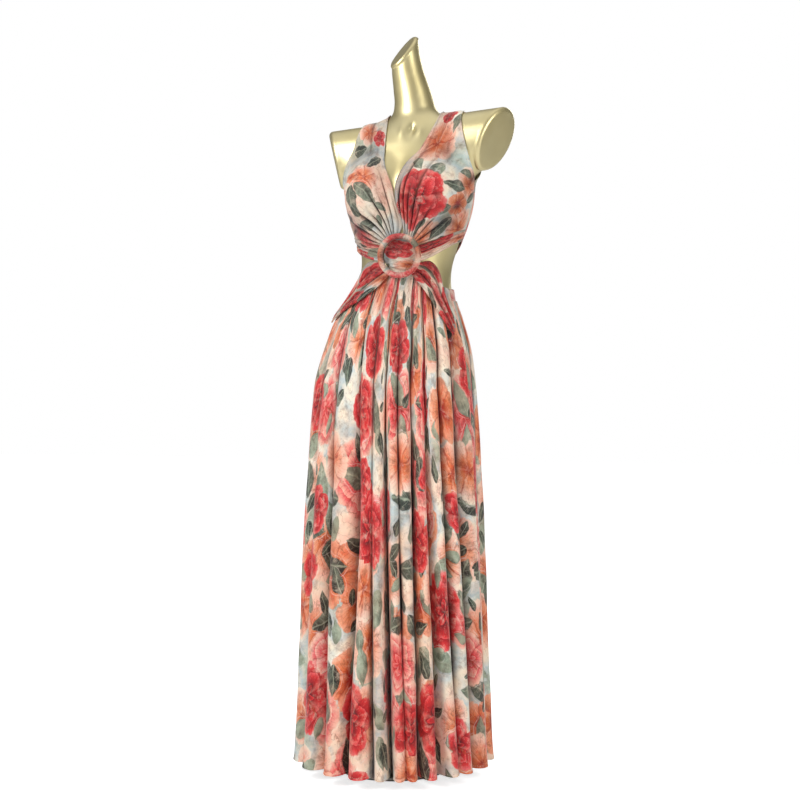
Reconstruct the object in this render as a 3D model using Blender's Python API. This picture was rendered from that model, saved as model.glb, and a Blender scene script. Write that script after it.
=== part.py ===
"""A maxi dress on a limbless dress form.

Metres, +Z up. The dress faces -Y and its left side is +X. The floor is z = 0.
Heights are read from tables that run from the floor up, angles round the skirt
are degrees from the front (-Y) towards the left (+X).
"""
import math
from collections import namedtuple

import bmesh
import bpy
import mathutils
import numpy as np

# ------------------------------------------------------------------ driving sizes
WALL = 0.0015                 # cloth of every piece
SEAM_GAP = 0.0004             # half of the gap between two pieces at a seam
LIFT = 0.0045                 # cloth above the form
FRAME_SHIFT_X = -0.0180       # sets the middle of the whole outline on the origin

HEM_Z = 0.022
BUST_Z = 1.215
FORM_BOTTOM_Z = 0.742

RING_MIDDLE = (0.045, 1.076)  # across and up, on the front of the waist
RING_RADIUS = 0.0400          # to the middle of the tube
RING_TUBE = 0.0060
RING_STAND_OFF = 0.0185       # tube's middle above the form
GATHER_RADIUS = 0.0375        # where the cloth pieces end behind the ring
DRAPE_RADIUS = 0.0350

POLE_RADIUS = 0.0125
POLE_FLANGE_RADIUS = 0.032
POLE_FLANGE = 0.005
BASE_RADIUS = 0.118
BASE_THICK = 0.008

# ------------------------------------------------------------------ tables
# Sections of the trunk and neck: height, middle across, half width, depth to the
# front and to the back, and how far the section is set back.
Section = namedtuple("Section", "z middle half_width front back set_back")
TRUNK = [
    Section(0.700, 0.000, 0.140, 0.100, 0.105, 0.000),
    Section(0.760, 0.000, 0.149, 0.105, 0.114, 0.000),
    Section(0.820, 0.001, 0.152, 0.107, 0.119, 0.000),
    Section(0.880, 0.004, 0.147, 0.105, 0.118, 0.000),
    Section(0.940, 0.010, 0.130, 0.098, 0.108, 0.000),
    Section(1.000, 0.019, 0.108, 0.088, 0.091, 0.000),
    Section(1.050, 0.028, 0.0975, 0.081, 0.078, 0.000),
    Section(1.100, 0.0345, 0.1045, 0.083, 0.079, 0.000),
    Section(1.140, 0.036, 0.119, 0.088, 0.085, 0.000),
    Section(1.180, 0.036, 0.131, 0.093, 0.091, 0.000),
    Section(1.230, 0.037, 0.136, 0.092, 0.096, 0.000),
    Section(1.270, 0.0395, 0.135, 0.085, 0.096, 0.000),
    Section(1.310, 0.043, 0.116, 0.072, 0.086, 0.002),
    Section(1.345, 0.046, 0.077, 0.057, 0.068, 0.006),
    Section(1.375, 0.0465, 0.0535, 0.047, 0.053, 0.010),
    Section(1.405, 0.0450, 0.0440, 0.043, 0.045, 0.010),
    Section(1.440, 0.039, 0.0395, 0.039, 0.040, 0.008),
    Section(1.480, 0.031, 0.034, 0.035, 0.036, 0.004),
    Section(1.520, 0.0275, 0.029, 0.032, 0.033, 0.002),
    Section(1.600, 0.026, 0.0235, 0.029, 0.030, 0.002),
]
BUST_CENTRE = (0.058, -0.066)          # out from the middle, and forward
BUST_RADII = (0.056, 0.052, 0.060)
SHOULDER_MIDDLE = (0.0510, 0.004, 1.312)
SHOULDER_ROLL = 0.075                  # rise towards the left, per metre across
SHOULDER_RADII = (0.053, 0.062)        # depth and height
SHOULDER_FILLET = 0.028
ARM_CUT_OUT = 0.1785                   # middle of the cut from the body's middle
ARM_CUT_NORMALS = {1: (0.870, -0.320, -0.320), -1: (-0.920, -0.320, -0.170)}
NECK_CUT_POINT = (0.023, 0.004, 1.524)
NECK_CUT_NORMAL = (-0.540, -0.570, 0.620)
CUT_SPARE = 0.020                      # the form is made this much longer, then cut
CUT_EDGES = (0.0025, 0.0055, 0.0055)   # width of the cuts' slanted edges, neck and arms
CUT_REACH = 0.100                      # and a cut goes no further out from its middle

# Rays that find the form's surface: the height they start from, their climb, and how
# far they lean with the neck's cut.
Ray = namedtuple("Ray", "start_z climb lean")
FORM_ROWS = [
    Ray(0.82, -78, 0), Ray(0.82, -56, 0), Ray(0.82, -40, 0), Ray(0.82, -29, 0),
    Ray(0.82, -14, 0), Ray(0.83, 0, 0), Ray(0.89, 0, 0), Ray(0.94, 0, 0), Ray(0.98, 0, 0),
    Ray(1.015, 0, 0), Ray(1.05, 0, 0), Ray(1.085, 0, 0), Ray(1.12, 0, 0), Ray(1.155, 0, 0),
    Ray(1.185, 0, 0), Ray(1.208, 0, 0), Ray(1.224, 0, 0), Ray(1.236, 0, 0),
    Ray(1.246, 0.4, 0), Ray(1.257, 1, 0), Ray(1.262, 1.7, 0), Ray(1.267, 2.6, 0),
    Ray(1.273, 4.3, 0), Ray(1.282, 7.5, 0), Ray(1.289, 11.5, 0), Ray(1.294, 16, 0),
    Ray(1.297, 18.5, 0), Ray(1.300, 22, 0), Ray(1.305, 28, 0), Ray(1.310, 32, 0),
    Ray(1.316, 37, 0), Ray(1.323, 41, 0), Ray(1.333, 45, 0), Ray(1.36, 46, 0.1),
    Ray(1.392, 36, 0.25), Ray(1.420, 22, 0.5), Ray(1.450, 10, 0.75), Ray(1.478, 3, 0.92),
    Ray(1.502, 0, 1), Ray(1.528, 0, 1),
]
FORM_COLUMNS = 48
FORM_SIDE_FOCUS = 0.55                 # draws the columns together at the arm cuts

# The skirt's outer form: height, middle across, half width, depth front and back.
Hoop = namedtuple("Hoop", "z middle half_width front back")
SKIRT = [
    Hoop(0.022, 0.0000, 0.2145, 0.207, 0.207),
    Hoop(0.056, 0.0000, 0.2120, 0.203, 0.203),
    Hoop(0.184, 0.0000, 0.2070, 0.195, 0.196),
    Hoop(0.375, 0.0000, 0.2010, 0.180, 0.184),
    Hoop(0.567, 0.0000, 0.1930, 0.163, 0.171),
    Hoop(0.695, 0.0005, 0.1855, 0.149, 0.160),
    Hoop(0.759, 0.0010, 0.1810, 0.141, 0.154),
    Hoop(0.823, 0.0022, 0.1750, 0.134, 0.148),
    Hoop(0.887, 0.0075, 0.1610, 0.126, 0.138),
    Hoop(0.950, 0.0115, 0.1400, 0.113, 0.121),
    Hoop(1.000, 0.0190, 0.1165, 0.0965, 0.0995),
    Hoop(1.050, 0.0280, 0.1048, 0.0878, 0.0860),
    Hoop(1.100, 0.0345, 0.1118, 0.0898, 0.0870),
]

# The upper edge of the skirt in front and of its waistband behind, by angle.
WAIST_LINE = [
    (-180, 1.032), (-150, 1.028), (-120, 1.018), (-98, 1.011), (-86, 1.006), (-75, 0.990),
    (-64, 0.990), (-54, 1.020), (-46, 1.042), (-34, 1.046), (-18, 1.040), (8, 1.037),
    (28, 1.042), (44, 1.050), (57, 1.042), (66, 1.020), (76, 1.012), (84, 1.011),
    (98, 1.012), (120, 1.018), (150, 1.028), (180, 1.032),
]

# Valleys of the skirt's folds: angle at the top, half way and at the hem, and the
# depth half way and at the hem.
Valley = namedtuple("Valley", "top middle hem depth_middle depth_hem")
VALLEYS = [
    Valley(-77, -76, -74, 0.030, 0.034),
    Valley(-60, -57, -52, 0.028, 0.026),
    Valley(-42, -37, -31, 0.032, 0.045),
    Valley(-20, -10, -13, 0.046, 0.040),
    Valley(-4, 2, 5, 0.014, 0.034),
    Valley(9, 12.5, 17, 0.066, 0.096),
    Valley(20, 22.5, 25.5, 0.028, 0.014),
    Valley(31, 33, 34, 0.036, 0.046),
    Valley(42, 45, 48, 0.052, 0.086),
    Valley(53, 56, 60, 0.034, 0.020),
    Valley(65, 68, 73, 0.040, 0.046),
    Valley(92, 93, 94, 0.034, 0.052),
    Valley(106, 108, 109, 0.040, 0.038),
    Valley(121, 122, 125, 0.048, 0.080),
    Valley(136, 137, 138, 0.030, 0.030),
    Valley(150, 151, 152, 0.038, 0.046),
    Valley(164, 166, 169, 0.056, 0.088),
    Valley(180, 181, 182, 0.028, 0.024),
    Valley(195, 196, 198, 0.040, 0.050),
    Valley(210, 211, 212, 0.046, 0.070),
    Valley(225, 226, 227, 0.030, 0.034),
    Valley(240, 241, 243, 0.042, 0.052),
    Valley(256, 256, 258, 0.034, 0.044),
    Valley(270, 270, 271, 0.030, 0.036),
]
# Share of a half fold at which a row has a point, from the valley towards the ridge.
FOLD_STEPS = (0.0, 0.17, 0.50)
GATHER_DEPTH = [(0.80, 0.0145), (0.86, 0.0095), (0.93, 0.0065), (1.00, 0.0045), (1.06, 0.0035)]
FORM_FREE_Z = 0.70            # folds go in to their full depth below this height
LEFT_SEAM = 11                # the front ends half a fold before this valley
SKIRT_ROWS = (0, 0.03, 0.075, 0.13, 0.19, 0.265, 0.36, 0.50, 0.68, 0.86, 1)
HEM_RISE = 0.006              # a valley's hem hangs higher than a ridge's
BACK_BAND_HEIGHT = 0.024

# Neck edges of the two fronts, from the ring up: height and place across.
NECK_EDGE_LEFT = [
    (1.140, 0.0505), (1.160, 0.0442), (1.180, 0.0400), (1.205, 0.0382), (1.230, 0.0430),
    (1.261, 0.0590), (1.290, 0.0790), (1.330, 0.0965), (1.365, 0.1080),
]
NECK_EDGE_RIGHT = [
    (1.140, 0.0495), (1.160, 0.0432), (1.180, 0.0386), (1.215, 0.0310), (1.252, 0.0140),
    (1.290, 0.0070), (1.330, 0.0030), (1.365, -0.0030),
]
# Armholes, from the shoulder seam to the underarm: across, forward and up.
ARMHOLE_LEFT = [
    (0.160, 0.006, 1.400), (0.162, -0.030, 1.355), (0.172, -0.050, 1.315),
    (0.180, -0.036, 1.282), (0.181, 0.000, 1.254),
]
ARMHOLE_RIGHT = [
    (-0.058, 0.006, 1.392), (-0.063, -0.032, 1.348), (-0.071, -0.052, 1.310),
    (-0.094, -0.040, 1.272), (-0.106, 0.000, 1.246),
]
SHOULDER_IN_LEFT = (0.112, 0.006, 1.396)
SHOULDER_IN_RIGHT = (-0.0080, 0.006, 1.388)
SHOULDER_SHARE = 0.30         # share of a bodice piece's far edge on the shoulder seam
ARMHOLE_SHARE = 0.74          # and where the armhole ends and the side seam starts

# Where the pieces leave the ring, degrees round it from the left, at the front.
CUP_LEAVES = (79, 36)
UNDER_BAND_LEAVES = (33, -20)
HIP_BAND_LEAVES = (-24, -62)
# Heights of the side seams' ends.
SIDE_LOW = {1: 1.138, -1: 1.132}
BAND_LOW = {1: 1.113, -1: 1.101}

# Edges of the hip bands beyond the ring: angle and height.
HIP_BAND_LEFT_HIGH = [(47, 1.066), (60, 1.047), (67, 1.010), (71, 0.970), (72.5, 0.935)]
HIP_BAND_LEFT_LOW = [(41, 1.010), (49, 0.990), (55, 0.967), (61, 0.943), (68, 0.912)]
HIP_BAND_RIGHT_HIGH = [(-38, 1.068), (-49, 1.054), (-57, 1.014), (-65, 0.982), (-72, 0.962)]
HIP_BAND_RIGHT_LOW = [(-15, 1.014), (-32, 0.990), (-46, 0.974), (-58, 0.960), (-70, 0.944)]
PLEAT_DEPTH = 0.0055
HIP_TUCKS = (0, 0.33, 0.67, 1.0)
UNDER_PLEAT = 0.0032
UNDER_TUCKS = (0, 0.43, 1.0)
CUP_GATHER = 0.0036

# The back: half its width at the waist in degrees, its neck opening's half width by
# height, and its cut-out's edge by angle and by drop below the side seam's end.
BACK_WAIST_HALF = 40
BACK_LIFT = 0.0053
BACK_NECK = [
    (1.08, 0), (1.13, 0), (1.155, 0.0003), (1.18, 0.0015), (1.205, 0.004), (1.23, 0.008),
    (1.29, 0.025), (1.35, 0.042),
]
BACK_CUT_OUT = [(131, 0.058), (122, 0.036), (112, 0.017), (101, 0.005)]

# ------------------------------------------------------------------ finishes
# Base colour, metallic value and roughness.
GOLD = ((0.72, 0.66, 0.47, 1.0), 0.85, 0.25)
PEACH = ((0.91, 0.66, 0.56, 1.0), 0.0, 0.62)
CORAL = ((0.80, 0.26, 0.23, 1.0), 0.0, 0.62)
SAGE = ((0.66, 0.72, 0.66, 1.0), 0.0, 0.62)
STEEL = ((0.70, 0.68, 0.62, 1.0), 0.9, 0.35)


# ------------------------------------------------------------------ small geometry
def smooth_table(at, table, column=1):
    """Read a smooth curve through a table's points; it is level beyond the ends."""
    xs = np.array([row[0] for row in table], float)
    ys = np.array([row[column] for row in table], float)
    secant = np.diff(ys) / np.diff(xs)
    slope = np.concatenate(([secant[0]], (secant[1:] + secant[:-1]) / 2, [secant[-1]]))
    at = np.clip(at, xs[0], xs[-1])
    i = np.clip(np.searchsorted(xs, at, side="right") - 1, 0, len(xs) - 2)
    step = xs[i + 1] - xs[i]
    t = (at - xs[i]) / step
    return (
        (1 + 2 * t) * (1 - t) ** 2 * ys[i]
        + t * (1 - t) ** 2 * step * slope[i]
        + t**2 * (3 - 2 * t) * ys[i + 1]
        + t**2 * (t - 1) * step * slope[i + 1]
    )


def smooth_min(a, b, reach):
    """The lesser of two distances, rounded where they meet."""
    near = np.maximum(reach - np.abs(a - b), 0) / reach
    return np.minimum(a, b) - near**2 * reach / 4


def smooth_max(a, b, reach):
    """The greater of two distances, rounded where they meet."""
    return -smooth_min(-a, -b, reach)


def oval_gap(offset, radii):
    """About the distance outside an oval or ellipsoid, less than zero within."""
    scaled = offset / radii
    near = np.linalg.norm(scaled, axis=-1)
    steep = np.linalg.norm(scaled / radii, axis=-1) + 1e-9
    return near * (near - 1) / steep


def unit(vector):
    """The vector at length one."""
    vector = np.asarray(vector, float)
    return vector / np.linalg.norm(vector)


# ------------------------------------------------------------------ the form's shape
def form_gap(points, spare=0.0):
    """About how far points are outside the form, less than zero within it."""
    x, y, z = points[..., 0], points[..., 1], points[..., 2]
    middle = smooth_table(z, TRUNK, 1)
    set_back = smooth_table(z, TRUNK, 5)
    deep = np.where(y < set_back, smooth_table(z, TRUNK, 3), smooth_table(z, TRUNK, 4))
    across = np.stack((x - middle, y - set_back), axis=-1)
    trunk = oval_gap(across, np.stack((smooth_table(z, TRUNK, 2), deep), axis=-1))
    gap = smooth_max(trunk, FORM_BOTTOM_Z - z, 0.030)
    for side in (1, -1):
        centre = (smooth_table(BUST_Z, TRUNK) + side * BUST_CENTRE[0], BUST_CENTRE[1], BUST_Z)
        bust = oval_gap(points - np.array(centre, float), np.array(BUST_RADII))
        gap = smooth_min(gap, bust, 0.034)
    out = x - SHOULDER_MIDDLE[0]
    rise = z - SHOULDER_MIDDLE[2] - SHOULDER_ROLL * out
    tube = oval_gap(np.stack((y - SHOULDER_MIDDLE[1], rise), axis=-1), np.array(SHOULDER_RADII))
    neck_cut, *arm_cuts = form_cuts()
    for point, normal, _ in arm_cuts:
        tube = np.maximum(tube, (points - point) @ normal - spare)
    gap = smooth_min(gap, tube, SHOULDER_FILLET)
    return np.maximum(gap, (points - neck_cut[0]) @ neck_cut[1] - spare)


def form_cuts():
    """The neck's and the arms' flat cuts: a point, the way it faces and its edge."""
    cuts = [(np.array(NECK_CUT_POINT), unit(NECK_CUT_NORMAL), CUT_EDGES[0])]
    for side, edge in zip((1, -1), CUT_EDGES[1:]):
        out = side * ARM_CUT_OUT
        point = np.array(SHOULDER_MIDDLE) + (out, 0, SHOULDER_ROLL * out)
        cuts.append((point, unit(ARM_CUT_NORMALS[side]), edge))
    return cuts


def form_slope(points):
    """Gradient of form_gap."""
    tiny = 2e-4
    parts = []
    for axis in range(3):
        step = np.zeros(3)
        step[axis] = tiny
        parts.append((form_gap(points + step) - form_gap(points - step)) / (2 * tiny))
    return np.stack(parts, axis=-1)


def onto_form(points, lift, level=False):
    """Move points, or only across where level, to lie the given lift above the form."""
    points = np.array(points, float)
    lift = np.asarray(lift, float)
    for _ in range(14):
        slope = form_slope(points)
        if level:
            slope[..., 2] = 0
        short = (form_gap(points) - lift) / np.maximum((slope**2).sum(axis=-1), 0.25)
        points = points - np.clip(short, -0.02, 0.02)[..., None] * slope
    return points


def form_surface(columns, rows):
    """Rings of points on the form, found by rays from its middle line."""
    turn = np.arange(columns) * 2 * math.pi / columns
    turn = turn - FORM_SIDE_FOCUS * np.sin(2 * turn) / 2
    rings = []
    slant = unit(NECK_CUT_NORMAL)
    for start_z, climb, lean in rows:
        climb = math.radians(climb)
        start = np.array(
            [smooth_table(start_z, TRUNK, 1), smooth_table(start_z, TRUNK, 5), start_z], float
        )
        flat = np.stack((np.cos(turn), np.sin(turn)), axis=-1)
        rise = math.tan(climb) - lean * (flat @ slant[:2]) / slant[2]
        ray = np.column_stack((flat, rise))
        ray /= np.linalg.norm(ray, axis=1)[:, None]
        reach = np.arange(0, 0.32, 0.002)
        gaps = form_gap(start + reach[:, None, None] * ray, CUT_SPARE)
        first = np.argmax(gaps > 0, axis=0)
        low, high = reach[first - 1], reach[first]
        for _ in range(18):
            half = (low + high) / 2
            inside = form_gap(start + half[:, None] * ray, CUT_SPARE) < 0
            low, high = np.where(inside, half, low), np.where(inside, high, half)
        rings.append(start + low[:, None] * ray)
    return np.array(rings)


# ------------------------------------------------------------------ the skirt's shape
def hoop_point(angle, z, lift=0.0):
    """A point on the skirt's outer form, at an angle in degrees and a height."""
    turn = np.radians(angle)
    deep = np.where(np.cos(turn) > 0, smooth_table(z, SKIRT, 3), smooth_table(z, SKIRT, 4))
    wide = smooth_table(z, SKIRT, 2)
    reach = 1 / np.hypot(np.sin(turn) / wide, np.cos(turn) / deep) + lift
    middle = smooth_table(z, SKIRT, 1)
    return np.stack((middle + reach * np.sin(turn), -reach * np.cos(turn), z), axis=-1)


def valley_angle(fold, share, column_share):
    """Angle of a point at a share of the way from one valley to the next."""
    turns, index = divmod(fold, len(VALLEYS))
    following = VALLEYS[(index + 1) % len(VALLEYS)]
    wrap = 360 * turns + (360 if index + 1 == len(VALLEYS) else 0)
    here = drifted(VALLEYS[index], share) + 360 * turns
    there = drifted(following, share) + wrap
    return here + (there - here) * column_share


def drifted(valley, share):
    """A valley's angle at a share of the way down."""
    places = [(0, valley.top), (0.5, valley.middle), (1, valley.hem)]
    return smooth_table(share, places)


def fold_depth(valley, z):
    """How deep a valley is at a height."""
    gather = smooth_table(z, GATHER_DEPTH)
    deep = smooth_table(
        z,
        [
            (HEM_Z, valley.depth_hem),
            (0.20, 0.8 * valley.depth_hem + 0.2 * valley.depth_middle),
            (0.50, valley.depth_middle),
            (0.64, 0.8 * valley.depth_middle),
            (FORM_FREE_Z, 0.55 * valley.depth_middle),
            (0.80, 0.0),
        ],
    )
    return np.maximum(deep, np.minimum(gather, 0.3 * valley.depth_middle + 0.004))


def valley_shape(share):
    """One at a valley's bottom and nothing on the ridge, which is broad and round."""
    return 1 - np.sqrt(1 - (1 - share) ** 2)


def skirt_columns(first, last):
    """Each column of a panel: its fold and its share of the way to the next valley."""
    steps = list(FOLD_STEPS[1:])
    shares = [s / 2 for s in steps] + [0.5] + [1 - s / 2 for s in reversed(steps)]
    columns = [(first - 1, 0.5)] + [(first - 1, share) for share in shares if share > 0.5]
    for fold in range(first, last):
        columns.append((fold, 0.0))
        if fold < last - 1:
            columns += [(fold, share) for share in shares]
        else:
            columns += [(fold, share) for share in shares if share <= 0.5]
    return columns


def skirt_surface(columns, shares, top_drop=0.0):
    """The skirt's middle surface, rows from the top edge down and columns round."""
    grid = np.zeros((len(shares), len(columns), 3))
    for j, (fold, column_share) in enumerate(columns):
        for i, share in enumerate(shares):
            angle = valley_angle(fold, share, column_share)
            from_here = column_share <= 0.5
            valley = VALLEYS[(fold if from_here else fold + 1) % len(VALLEYS)]
            shape = valley_shape(2 * (column_share if from_here else 1 - column_share))
            top = waist_height(angle) - top_drop
            hem = HEM_Z + HEM_RISE * shape
            z = top + (hem - top) * share
            depth = fold_depth(valley, z)
            grid[i, j] = hoop_point(angle, z, -WALL / 2 - depth * shape)
    return grid


# ------------------------------------------------------------------ solids
def finish(name, colour, metallic, roughness):
    """A material of one finish."""
    material = bpy.data.materials.new(name)
    material.use_nodes = True
    shader = material.node_tree.nodes["Principled BSDF"]
    shader.inputs["Base Color"].default_value = colour
    shader.inputs["Metallic"].default_value = metallic
    shader.inputs["Roughness"].default_value = roughness
    return material


def cut_flat(work, point, normal, edge):
    """Cut a closed mesh by a plane, drop what is beyond it and close it with a flat."""
    near = {v for v in work.verts if (v.co - mathutils.Vector(point)).length < CUT_REACH}
    parts = list(near)
    parts += [part for part in (*work.edges, *work.faces) if near.issuperset(part.verts)]
    low = point - normal * edge
    bmesh.ops.bisect_plane(
        work, geom=parts, dist=0.0004, plane_co=low, plane_no=normal, clear_outer=True
    )
    rim = [line for line in work.edges if line.is_boundary]
    corners = {v for line in rim for v in line.verts}
    middle = sum((v.co for v in corners), start=mathutils.Vector()) / len(corners)
    rise = mathutils.Vector(normal) * edge
    inset = {v: work.verts.new(v.co + rise + (middle - v.co).normalized() * edge) for v in corners}
    centre = work.verts.new(middle + rise)
    for line in rim:
        a, b = line.verts
        work.faces.new((a, b, inset[b], inset[a]))
        work.faces.new((inset[a], inset[b], centre))


def add_solid(name, vertices, faces, look, cuts=()):
    """One closed object from its points and faces, with its faces turned outward."""
    mesh = bpy.data.meshes.new(name)
    mesh.from_pydata([tuple(map(float, v)) for v in vertices], [], faces)
    work = bmesh.new()
    work.from_mesh(mesh)
    for cut in cuts:
        cut_flat(work, *cut)
    bmesh.ops.recalc_face_normals(work, faces=work.faces)
    work.to_mesh(mesh)
    work.free()
    mesh.shade_smooth()
    mesh.set_sharp_from_angle(angle=math.radians(50))
    mesh.materials.append(finish(name, *look))
    solid = bpy.data.objects.new(name, mesh)
    solid.location.x = FRAME_SHIFT_X
    bpy.context.collection.objects.link(solid)
    return solid


def add_wall(name, outer, inner, look):
    """A wall of cloth between two grids of points, closed along its four edges."""
    rows, columns = outer.shape[:2]
    count = rows * columns
    vertices = np.concatenate((outer.reshape(-1, 3), inner.reshape(-1, 3)))
    faces = []
    for i in range(rows - 1):
        for j in range(columns - 1):
            a, b = i * columns + j, i * columns + j + 1
            c, d = b + columns, a + columns
            faces += [(a, b, c), (a, c, d)]
            faces += [(a + count, c + count, b + count), (a + count, d + count, c + count)]
    rim = [j for j in range(columns)]
    rim += [i * columns + columns - 1 for i in range(1, rows)]
    rim += [(rows - 1) * columns + j for j in range(columns - 2, -1, -1)]
    rim += [i * columns for i in range(rows - 2, 0, -1)]
    for k, here in enumerate(rim):
        there = rim[(k + 1) % len(rim)]
        faces += [(here, here + count, there + count), (here, there + count, there)]
    return add_solid(name, vertices, faces, look)


def wall_from_middle(name, middle, outward, look):
    """A wall of even thickness about a middle surface; its side edges face outward."""
    down = np.gradient(middle, axis=0)
    along_rows = np.gradient(middle, axis=1)
    normal = np.cross(down, along_rows)
    normal /= np.linalg.norm(normal, axis=-1)[..., None] + 1e-12
    if (normal * outward).sum() < 0:
        normal = -normal
    for column in (0, -1):
        normal[:, column] = outward[:, column]
        normal[:, column] /= np.linalg.norm(outward[:, column], axis=-1)[:, None]
    half = normal * WALL / 2
    return add_wall(name, middle + half, middle - half, look)


def wall_on_form(name, guides, lift, look, evenings=6):
    """A wall of cloth that lies at a lift above the form, its points evened out."""
    inner = np.array(guides)
    for _ in range(evenings):
        around = inner[:-2, 1:-1] + inner[2:, 1:-1] + inner[1:-1, :-2] + inner[1:-1, 2:]
        inner[1:-1, 1:-1] = around / 4
        inner = onto_form(inner, LIFT)
    inner = onto_form(inner, lift)
    outer = onto_form(inner, lift + WALL)
    return add_wall(name, outer, inner, look)


def add_rings(name, rings, look, cuts=()):
    """A closed solid of rings of points, each end drawn to a point."""
    count, columns = rings.shape[:2]
    vertices = list(rings.reshape(-1, 3)) + [rings[0].mean(axis=0), rings[-1].mean(axis=0)]
    faces = []
    for i in range(count - 1):
        for j in range(columns):
            k = (j + 1) % columns
            faces.append(
                (i * columns + j, i * columns + k, (i + 1) * columns + k, (i + 1) * columns + j)
            )
    low, high = count * columns, count * columns + 1
    for j in range(columns):
        k = (j + 1) % columns
        faces.append((low, k, j))
        faces.append((high, (count - 1) * columns + j, (count - 1) * columns + k))
    return add_solid(name, vertices, faces, look, cuts)


def add_turned(name, profile, middle, look, sides=32):
    """A solid turned about an upright line; the profile is radius and height."""
    turn = np.arange(sides) * 2 * math.pi / sides
    rings = np.array(
        [
            np.stack((middle[0] + r * np.cos(turn), middle[1] + r * np.sin(turn), z + 0 * turn), -1)
            for r, z in profile
        ]
    )
    return add_rings(name, rings, look)


# ------------------------------------------------------------------ the dress form
def build_form():
    """The form's trunk, its pole and its foot."""
    add_rings("form_torso", form_surface(FORM_COLUMNS, FORM_ROWS), GOLD, form_cuts())
    top = FORM_BOTTOM_Z - 0.0004
    flange = top - POLE_FLANGE
    pole = [
        (POLE_RADIUS, BASE_THICK + 0.0004),
        (POLE_RADIUS, flange),
        (POLE_FLANGE_RADIUS, flange),
        (POLE_FLANGE_RADIUS, top),
    ]
    add_turned("form_pole", pole, (0, 0), STEEL, sides=20)
    edge = 0.002
    base = [
        (BASE_RADIUS - edge, 0),
        (BASE_RADIUS, edge),
        (BASE_RADIUS, BASE_THICK - edge),
        (BASE_RADIUS - edge, BASE_THICK),
    ]
    add_turned("form_base", base, (0, 0), STEEL, sides=40)


# ------------------------------------------------------------------ the ring
def ring_place():
    """The middle of the ring's tube circle and its three directions."""
    guess = np.array([RING_MIDDLE[0], -0.12, RING_MIDDLE[1]])
    middle = onto_form(guess, RING_STAND_OFF)
    middle[[0, 2]] = RING_MIDDLE
    forward = unit(form_slope(middle))
    left = unit(np.cross(forward, (0, 0, 1.0)))
    left = left if left[0] > 0 else -left
    up = np.cross(left, forward)
    up = up if up[2] > 0 else -up
    return middle, forward, left, up


def behind_ring(points, lift):
    """Move points straight back, the way the ring faces, to a lift above the form."""
    forward = ring_place()[1]
    for _ in range(12):
        points = points - ((form_gap(points) - lift) / 0.9)[..., None] * forward
    return points


def round_ring(degrees, radius):
    """Points of the form's cover at a radius behind the ring."""
    middle, _, left, up = ring_place()
    turn = np.radians(degrees)
    across = np.cos(turn)[..., None] * left + np.sin(turn)[..., None] * up
    return behind_ring(middle + radius * across, LIFT)


def build_ring():
    """The covered ring and the folded cloth that passes through it."""
    middle, forward, left, up = ring_place()
    sides, tube_sides = 36, 10
    turn = np.arange(sides) * 2 * math.pi / sides
    rings = []
    for k in range(tube_sides):
        tilt = 2 * math.pi * k / tube_sides
        radius = RING_RADIUS + RING_TUBE * math.cos(tilt)
        circle = np.cos(turn)[:, None] * left + np.sin(turn)[:, None] * up
        rings.append(middle + radius * circle + RING_TUBE * math.sin(tilt) * forward)
    vertices = np.concatenate(rings)
    faces = []
    for k in range(tube_sides):
        for j in range(sides):
            a, b = k * sides + j, k * sides + (j + 1) % sides
            shift = ((k + 1) % tube_sides - k) * sides
            faces.append((a, b, b + shift, a + shift))
    add_solid("ring", vertices, faces, CORAL)

    steps = 13
    across = np.linspace(-1, 1, steps)
    u, v = np.meshgrid(across, across)
    # A square grid drawn into a disc.
    disc_u = u * np.sqrt(1 - v**2 / 2)
    disc_v = v * np.sqrt(1 - u**2 / 2)
    flat = disc_u[..., None] * left + disc_v[..., None] * up
    guides = middle + DRAPE_RADIUS * flat
    away = np.hypot(disc_u, disc_v)
    swell = 0.0050 * (1 - away**2)
    pleats = 0.0016 * np.cos(2 * math.pi * (1.6 * disc_v + 0.35 * disc_u)) * (1 - away**4)
    inner = behind_ring(guides, LIFT + 0.0026 + swell + pleats)
    add_wall("ring_drape", inner + WALL * forward, inner, CORAL)


# ------------------------------------------------------------------ the bodice
def along(points, shares):
    """Points at shares of the length of a smooth line through the given points."""
    points = np.asarray(points, float)
    run = np.concatenate(([0], np.cumsum(np.linalg.norm(np.diff(points, axis=0), axis=1))))
    run /= run[-1]
    columns = [smooth_table(shares, np.column_stack((run, points[:, k]))) for k in range(3)]
    return np.stack(columns, axis=-1)


def round_arm(points):
    """Set points above the form along lines that run straight out of the arm's axis."""
    points = np.array(points, float)
    axis = np.array(points)
    axis[:, 1] = SHOULDER_MIDDLE[1]
    axis[:, 2] = SHOULDER_MIDDLE[2] + SHOULDER_ROLL * (points[:, 0] - SHOULDER_MIDDLE[0])
    away = points - axis
    away /= np.linalg.norm(away, axis=1)[:, None]
    for _ in range(20):
        points = points - 0.7 * (form_gap(points) - LIFT)[:, None] * away
    return points


def far_edge(shares, shoulder_in, armhole, side_low, seam):
    """The edge away from the ring or the waist: shoulder seam, armhole, side seam."""
    shoulder_in = np.array(shoulder_in) + (0, seam, 0)
    armhole = np.array(armhole) + (0, seam, 0)
    underarm = armhole[-1]
    low = np.array([side_low[0], seam, side_low[1]])
    points = []
    for share in shares:
        if share <= SHOULDER_SHARE:
            part = share / SHOULDER_SHARE
            points.append(shoulder_in + (armhole[0] - shoulder_in) * part)
        elif share <= ARMHOLE_SHARE:
            part = (share - SHOULDER_SHARE) / (ARMHOLE_SHARE - SHOULDER_SHARE)
            points.append(along(armhole, part))
        else:
            part = (share - ARMHOLE_SHARE) / (1 - ARMHOLE_SHARE)
            points.append(underarm + (low - underarm) * part)
    return np.array(points)


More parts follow.
